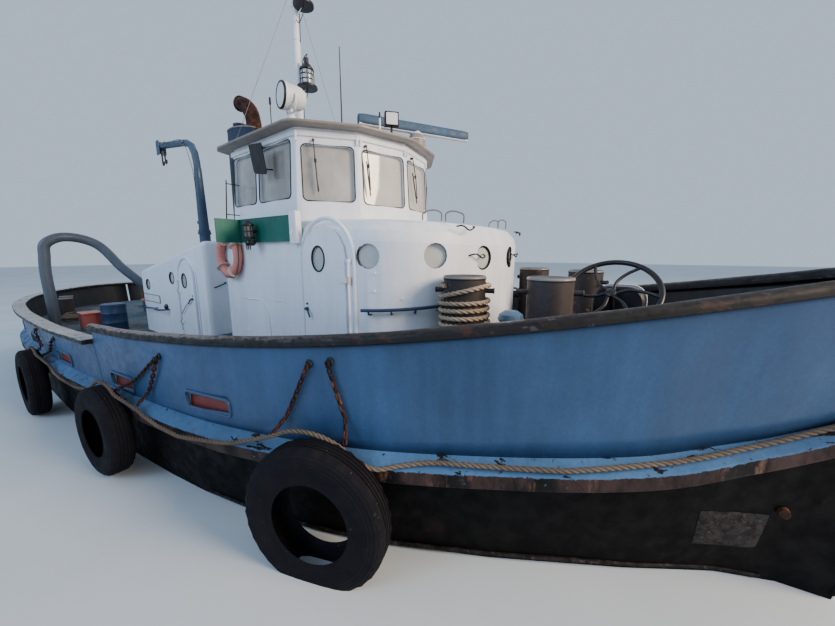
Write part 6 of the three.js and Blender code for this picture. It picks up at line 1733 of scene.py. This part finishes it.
# Bollard pairs: name, middle of each post, radius, top
BOLLARDS = (("bollards_fore_stbd", (5.05, -0.985), (5.74, -0.735), 0.19, 2.49),
            ("bollards_fore_port", (5.05, 0.985), (5.74, 0.735), 0.19, 2.49),
            ("bollards_aft_stbd", (-6.3, -1.85), (-5.75, -1.95), 0.13, 1.56),
            ("bollards_aft_port", (-6.3, 1.85), (-5.75, 1.95), 0.13, 1.56))


class TUG_OT_bollards(bpy.types.Operator):
    """Make the plain round bollards with cross pins, and wind the rope on the fore starboard one"""
    bl_idname = "tug.bollards"
    bl_label = "Bollards and wound rope"

    def execute(self, context):
        edges = []
        for name, a, b, r, top in BOLLARDS:
            a, b = array(a), array(b)
            along = unit(b - a)
            floor = float(line(DECK_Z, (a[0] + b[0]) / 2))
            parts = []
            base = rounded(np.linalg.norm(b - a), 1.2 * r, 0.02, 3)
            middle = (*((a + b) / 2), floor - 0.05)
            parts.append(plate(base, 0.11, middle, (*along, 0), (-along[1], along[0], 0), 0.008))
            for x, y in (a, b):
                deck = float(line(DECK_Z, x))
                profile = [(0.0005, deck - 0.03), (r + 0.028, deck - 0.03), (r + 0.028, deck + 0.05),
                           (r + 0.02, deck + 0.06), (r, deck + 0.062), (r * 0.998, (deck + top) / 2),
                           (r, top - 0.035), (r + 0.004, top - 0.03), (r + 0.005, top - 0.01),
                           (r - 0.006, top - 0.001), (r * 0.6, top), (0.0005, top - 0.002)]
                parts.append(turned(profile, (x, y, 0), UP, 64))
                level, out = top - 0.7 * r, 1.42 * r
                ends = [array([x - along[0] * out * s, y - along[1] * out * s, level]) for s in (1, -1)]
                parts.append(bar(ends[0], ends[1], 0.12 * r, sides=20))
                parts += [bar(e - (e - ends[1 - k]) * 0.02, e, 0.15 * r, 0.13 * r, 20)
                          for k, e in enumerate(ends)]
                edges.append(turned([(r - 0.01, top - 0.004), (r - 0.004, top - 0.0005),
                                     (r + 0.004, top - 0.008), (r + 0.0065, top - 0.012),
                                     (r + 0.0065, top - 0.02), (r + 0.002, top - 0.024)], (x, y, 0), UP, 64,
                                    closed=True))
            add(f"{name}_plain", parts, "bollard_black", replaces=name)
        add("bollard_edges", edges, "steel_worn")
        (x, y), r = BOLLARDS[0][1], 0.022
        turns = linspace(0, 6.3, 460)
        a = turns * 2 * pi + 2.4
        reach = 0.19 + r + 0.0015 + 0.008 * sin(a * 0.37) ** 2
        over_pin = np.clip((a - 35.07) / 2.8, 0, 1)
        laid, last = 1.965 + 0.065 * np.minimum(turns, 5.2), 0.102 * over_pin**2 * (3 - 2 * over_pin)
        level = laid + last + 0.005 * sin(a * 0.9)
        coil = stack([x + reach * cos(a), y + reach * sin(a), level], axis=-1)
        add("bollard_rope_laid", [laid_rope(coil, r)], "rope_tan", replaces="bollard_rope",
            sharp=60, closed=False)
        return {"FINISHED"}


# Middle of the windlass drum, and of the handwheel over it
DRUM_X, DRUM_Z, HANDWHEEL_HUB = 6.2, 1.84, (6.14, -0.24, 2.33)


class TUG_OT_windlass(bpy.types.Operator):
    """Make the handwheel with its curved spokes, and the windlass's cover, bands, ends and bolts"""
    bl_idname = "tug.windlass"
    bl_label = "Handwheel and windlass"

    def execute(self, context):
        hub, slant = array(HANDWHEEL_HUB), np.sqrt(0.5)
        axis, across = array([0, -slant, slant]), array([0, slant, slant])
        parts = [ring(hub, axis, 0.385, 0.0235, 96, 16),
                 turned([(0.0005, -0.038), (0.043, -0.038), (0.045, -0.03), (0.045, 0.018), (0.032, 0.028),
                         (0.0005, 0.03)], hub, axis, 32)]
        for k in range(6):
            a = k * pi / 3
            reach, turn = array([0.03, 0.14, 0.27, 0.372]), array([0, 0.32, 0.12, -0.02]) + a
            ahead, up = (reach * cos(turn))[:, None], (reach * sin(turn))[:, None]
            path = hub + array([1.0, 0, 0]) * ahead + across * up
            parts.append(tube(path, 0.0145, 22, 12))
        add("handwheel_round", parts, "gear_black", "handwheel_body",
            replaces="windlass_handwheel")
        cover = plate(rounded(0.44, 0.42, 0.14, 8), 0.38, (6.18, 0.3, 2.17), (1, 0, 0), (0, 0, 1), 0.02)
        seam = plate(rounded(0.452, 0.432, 0.146, 8), 0.016, (6.18, 0.21, 2.17), (1, 0, 0), (0, 0, 1), 0.003)
        foot = block((6.02, -0.02, 1.98), (6.34, 0.24, 2.08), 0.01)
        add("windlass_cover", [cover, foot], "gear_black")
        add("windlass_cover_seam", [seam], "trim_white")
        bands = []
        for y in (-0.29, -0.16, 0.16, 0.29):
            bands.append(turned([(0.185, -0.014), (0.208, -0.012), (0.212, 0.0), (0.208, 0.012),
                                 (0.185, 0.014)], (DRUM_X, y, DRUM_Z), (0, 1, 0), 48, closed=True))
        for side in (-1, 1):
            bands.append(turned([(0.05, 0), (0.118, 0.004), (0.122, 0.016), (0.1, 0.05), (0.104, 0.09),
                                 (0.124, 0.122), (0.12, 0.132), (0.0005, 0.134)],
                                (DRUM_X, side * 0.43, DRUM_Z), (0, side, 0), 48))
            for dz in (-0.13, 0.13):
                for dx in (-0.2, 0.2):
                    at = array([DRUM_X + dx, side * 0.3315, DRUM_Z + dz])
                    bands.append(bar(at - (0, 0.003 * side, 0), at + (0, 0.016 * side, 0), 0.02, 0.018, 6))
        for k in range(14):
            a = k / 14 * 2 * pi
            at = array([DRUM_X + 0.196 * cos(a), 0, DRUM_Z + 0.196 * sin(a)])
            bands.append(bar(at - (0, 0.14, 0), at + (0, 0.14, 0), 0.012, sides=8))
        add("windlass_bands", bands, "rusty_dark")
        vent = [turned([(0.0705, 1.2), (0.0725, 1.22), (0.0725, 1.93), (0.08, 1.945), (0.08, 1.975),
                        (0.0705, 1.984)], (5.25, -0.33, 0), UP, 40, closed=True)]
        add("vent_stem", vent, "trim_white")
        return {"FINISHED"}


class TUG_OT_casing_fittings(bpy.types.Operator):
    """Fit the casing's plate, lamps, rails and steps"""
    bl_idname = "tug.casing_fittings"
    bl_label = "Casing fittings"

    def execute(self, context):
        y, white, dark, blue = -CASING_HALF, [], [], []
        board = rounded(0.9, 0.15, 0.012, 3)
        white.append(plate(board, 0.008, (-2.35, y + 0.002, 1.735), (1, 0, 0), (0, 0, 1)))
        rim_path = on_plane(board + (-2.35, 1.735), y - 0.007)
        dark.append(swept(rim_path, circle(0.006, 8), closed=True, up=(0, 1, 0)))
        dark.append(turned([(0.0005, -0.002), (0.055, 0), (0.058, 0.022), (0.036, 0.046), (0.0005, 0.052)],
                           (-1.573, y, 1.617), (0, -1, 0), 32))
        blue.append(tube([(-2.78, y - 0.004, 1.53), (-2.78, y - 0.075, 1.535), (-2.1, y - 0.085, 1.55),
                          (-1.48, y - 0.075, 1.572), (-1.46, y - 0.004, 1.57)], 0.016, 60, 12))
        blue.append(bar((-2.1, y - 0.08, 1.548), (-2.1, y + 0.004, 1.545), 0.011))
        front = CASING_FORE + 0.001
        dark.append(tube([(front, -1.02, 2.1), (front + 0.05, -1.015, 2.11), (front + 0.055, -0.93, 2.14),
                          (front + 0.05, -0.85, 2.17), (front, -0.845, 2.175)], 0.011, 32, 10))
        blue.append(block((front - 0.004, -1.1, 1.235), (front + 0.16, -0.74, 1.268), 0.004))
        for y_at in (-1.06, -0.78):
            blue.append(tube([(front - 0.002, y_at, 1.1), (front + 0.06, y_at, 1.18),
                              (front + 0.14, y_at, 1.236)], 0.011, 12, 8))
        for z in (1.45, 1.72, 1.99):
            blue.append(tube([(front - 0.003, -0.52, z), (front + 0.06, -0.52, z), (front + 0.07, -0.4, z),
                              (front + 0.06, -0.28, z), (front - 0.003, -0.28, z)], 0.011, 28, 10))
        for x0, x1 in ((-2.3, -1.6), (-1.2, -0.92)):
            z0, z1 = (2.3 + (x + 2.9) / 3.15 * 0.6 + 0.002 for x in (x0, x1))
            blue.append(tube([(x0, -0.7, z0), (x0, -0.7, z0 + 0.06),
                              ((x0 + x1) / 2, -0.7, (z0 + z1) / 2 + 0.07), (x1, -0.7, z1 + 0.06),
                              (x1, -0.7, z1)], 0.012, 36, 10))
        add("casing_plates", both(white), "trim_white")
        add("casing_dark_fittings", both(dark), "gear_black")
        add("casing_rails", both(blue), "dark_blue")
        route = [(-0.245, y - 0.062, 1.87), (-0.42, y - 0.066, 1.78), (-0.7, y - 0.066, 1.58)]
        rod = [tube(route, 0.007, 16, 8)]
        for side, sign in SIDES:
            add(f"casing_door_rod_{side}", to_side(sign, rod), "steel_worn", f"casing_door_{side}_body")
        return {"FINISHED"}


# Half breadth at the waterline by X, forward
WATER_Y = array([(2.5, 2.33), (3.5, 2.1), (4.5, 1.75), (5.5, 1.24), (6.5, 0.66), (7.3, 0.23), (7.9, 0.06)])


def on_low_side(x, z, proud=0.0):
    """Points on the starboard side between waterline and belt: half breadths change evenly with height."""
    x, z = np.broadcast_arrays(np.asarray(x, float), np.asarray(z, float))
    water = reading(WATER_Y[:, 0], WATER_Y[:, 1], x)
    half = water + (line(BELT_Y, x) - water) * z / line(BELT_Z, x)
    return stack([raked(x, z), -(half + proud), z], axis=-1)


class TUG_OT_bow_plates(bpy.types.Operator):
    """Weld the rough plate under the belt at the bow, its lug and the worn ledge along the side"""
    bl_idname = "tug.bow_plates"
    bl_label = "Bow plates and side ledge"

    def execute(self, context):
        u, v = np.meshgrid(linspace(0, 1, 17), linspace(0, 1, 11), indexing="ij")
        x, z = 7.03 + 0.55 * u, 0.31 + 0.36 * v
        edge = np.minimum.reduce([u, 1 - u, v, 1 - v])
        outer = on_low_side(x, z, 0.01 + 0.016 * np.clip(edge * 9, 0, 1))
        inner = on_low_side(x, z, -0.02)
        slab = grid(concatenate([outer, inner[:, ::-1]], axis=1), wrap_v=True, caps=True)
        lug_at = on_low_side(7.66, 0.72)
        lug = bar(lug_at + (0, 0.02, 0), lug_at + (0.01, -0.055, 0), 0.045, 0.036)
        add("bow_plate", both([slab]), "rough_grey", sharp=50)
        add("bow_lug", both([lug]), "rusty_dark")
        xs = linspace(2.6, 7.72, 90)
        z = 0.045 + 0.012 * sin(xs * 1.3)
        path = on_low_side(xs, z, 0.004)
        add("side_ledge", both([swept(path, rounded(0.034, 0.03, 0.01, 3), up=UP)]), "ledge_worn")
        return {"FINISHED"}


class TUG_OT_inside(bpy.types.Operator):
    """Furnish the wheelhouse: screens and levers on the console, a seat, a chart shelf and white boxes"""
    bl_idname = "tug.inside"
    bl_label = "Inside the wheelhouse"

    def execute(self, context):
        dark = [block((3.12, 0.1, 3.402), (3.26, 0.4, 3.66), 0.012),
                block((3.1, -0.4, 3.402), (3.2, -0.16, 3.5), 0.01),
                block((2.16, -0.26, 3.5), (2.6, 0.2, 3.6), 0.03),
                block((2.1, -0.26, 3.56), (2.19, 0.2, 4.0), 0.03), post(2.36, -0.03, 3.155, 3.5, 0.045),
                bar((3.09, -0.05, 3.4), (3.05, -0.05, 3.56), 0.01, 0.008),
                tube([(3.5, 0.02, 3.3), (3.48, 0.02, 3.46), (3.42, 0.02, 3.52)], 0.018, 16, 10)]
        pale = [block((1.5, 0.55, 3.16), (2.3, 1.1, 3.86), 0.01),
                block((3.3, -0.62, 3.16), (3.42, -0.46, 3.42), 0.01),
                block((2.62, -1.14, 3.16), (2.98, -0.98, 3.4), 0.01),
                block((3.36, 0.36, 3.28), (3.44, 0.58, 3.4), 0.01)]
        locker = [block((1.62, -1.05, 3.16), (2.02, -0.55, 3.6), 0.04)]
        add("wheelhouse_gear", dark, "gear_black")
        add("wheelhouse_boxes", pale, "trim_white")
        add("wheelhouse_locker", locker, "dark_blue")
        return {"FINISHED"}


# Middle line of the starboard towing hoop
HOOP = ((-4.0, -2.43, 0.98), (-4.0, -2.43, 1.5), (-4.0, -2.42, 2.6), (-3.99, -2.38, 2.86),
        (-3.96, -2.2, 2.99), (-3.93, -1.9, 3.0), (-3.88, -1.7, 2.93), (-3.5, -1.26, 2.3),
        (-3.38, -1.12, 2.11), (-3.18, -0.9, 1.8), (-3.12, -0.85, 0.98))


class TUG_OT_after_deck(bpy.types.Operator):
    """Coil the tow line, set a box and a drum on the after deck, and make the towing hoops"""
    bl_idname = "tug.after_deck"
    bl_label = "After deck"

    def execute(self, context):
        turns = linspace(0, 5.2, 300)
        a = turns * 2 * pi
        reach = 0.42 - 0.045 * (turns % 2.6)
        coil = stack([-5.35 + reach * cos(a), -1.72 + reach * sin(a), 1.045 + 0.03 * turns], axis=-1)
        add("tow_line_coil", [laid_rope(coil, 0.03)], "rope_fibre", sharp=60, closed=False)
        pipe = tube(HOOP, 0.094, 110, 28)
        flange = turned([(0.094, 0), (0.16, 0), (0.16, 0.018), (0.094, 0.022)], (-4.0, -2.43, 0.985), UP, 40,
                        closed=True)
        for side, sign in SIDES:
            add(f"tow_hoop_{side}_round", to_side(sign, [pipe, flange]), "hoop_blue",
                replaces=f"tow_hoop_{side}")
        box = [block((-4.15, -2.04, 1.0), (-3.7, -1.72, 1.36), 0.01),
               block((-4.17, -2.06, 1.345), (-3.68, -1.7, 1.375), 0.006)]
        add("deck_box", box, "hatch_red")
        drum = turned([(0.0005, 0.0), (0.2, 0.0), (0.22, 0.02), (0.22, 0.19), (0.226, 0.2), (0.22, 0.21),
                       (0.22, 0.39), (0.226, 0.4), (0.22, 0.41), (0.22, 0.58), (0.2, 0.6), (0.0005, 0.598)],
                      (-3.3, -1.6, 0.985), UP, 48)
        add("deck_drum", [drum], "dark_blue")
        hinges = [bar((-4.69, s * 0.28 - 0.04, 1.352), (-4.69, s * 0.28 + 0.04, 1.352), 0.016)
                  for s in (-1, 1)]
        add("hatch_hinge_ends", hinges, "gear_black", "hatch_lid_body")
        return {"FINISHED"}


class TUG_PT_parts(bpy.types.Panel):
    """The tug's pieces, in the order in which they are made"""
    bl_idname = "TUG_PT_parts"
    bl_label = "Harbour tug"
    bl_space_type = "VIEW_3D"
    bl_region_type = "UI"
    bl_category = "Tug"

    def draw(self, context):
        layout = self.layout
        for group in (context.scene.tug_sizes, context.scene.tug_colours):
            column = layout.column(align=True)
            for name in group.bl_rna.properties.keys():
                if name not in ("rna_type", "name"):
                    column.prop(group, name)
        column = layout.column(align=True)
        for piece in PIECES:
            column.operator(piece.bl_idname)


PIECES = (TUG_OT_stage, TUG_OT_finishes, TUG_OT_plating, TUG_OT_rails, TUG_OT_belt, TUG_OT_stem, TUG_OT_tyres,
          TUG_OT_chains, TUG_OT_side_rope, TUG_OT_port_frames, TUG_OT_windows, TUG_OT_roof_band,
          TUG_OT_portholes, TUG_OT_doors, TUG_OT_house_rails, TUG_OT_mirror, TUG_OT_lamps, TUG_OT_radar,
          TUG_OT_mast, TUG_OT_side_lights, TUG_OT_lifebuoy, TUG_OT_exhaust, TUG_OT_davit, TUG_OT_bollards,
          TUG_OT_windlass, TUG_OT_casing_fittings, TUG_OT_bow_plates, TUG_OT_inside, TUG_OT_after_deck,)


def register():
    for part in (TugColours, TugSizes, *PIECES, TUG_PT_parts):
        bpy.utils.register_class(part)
    bpy.types.Scene.tug_colours = PointerProperty(type=TugColours)
    bpy.types.Scene.tug_sizes = PointerProperty(type=TugSizes)


def unregister():
    del bpy.types.Scene.tug_sizes, bpy.types.Scene.tug_colours
    for part in (TUG_PT_parts, *reversed(PIECES), TugSizes, TugColours):
        bpy.utils.unregister_class(part)


def main():
    register()
    for piece in PIECES:
        group, name = piece.bl_idname.split(".")
        getattr(getattr(bpy.ops, group), name)()


if __name__ == "__main__":
    main()
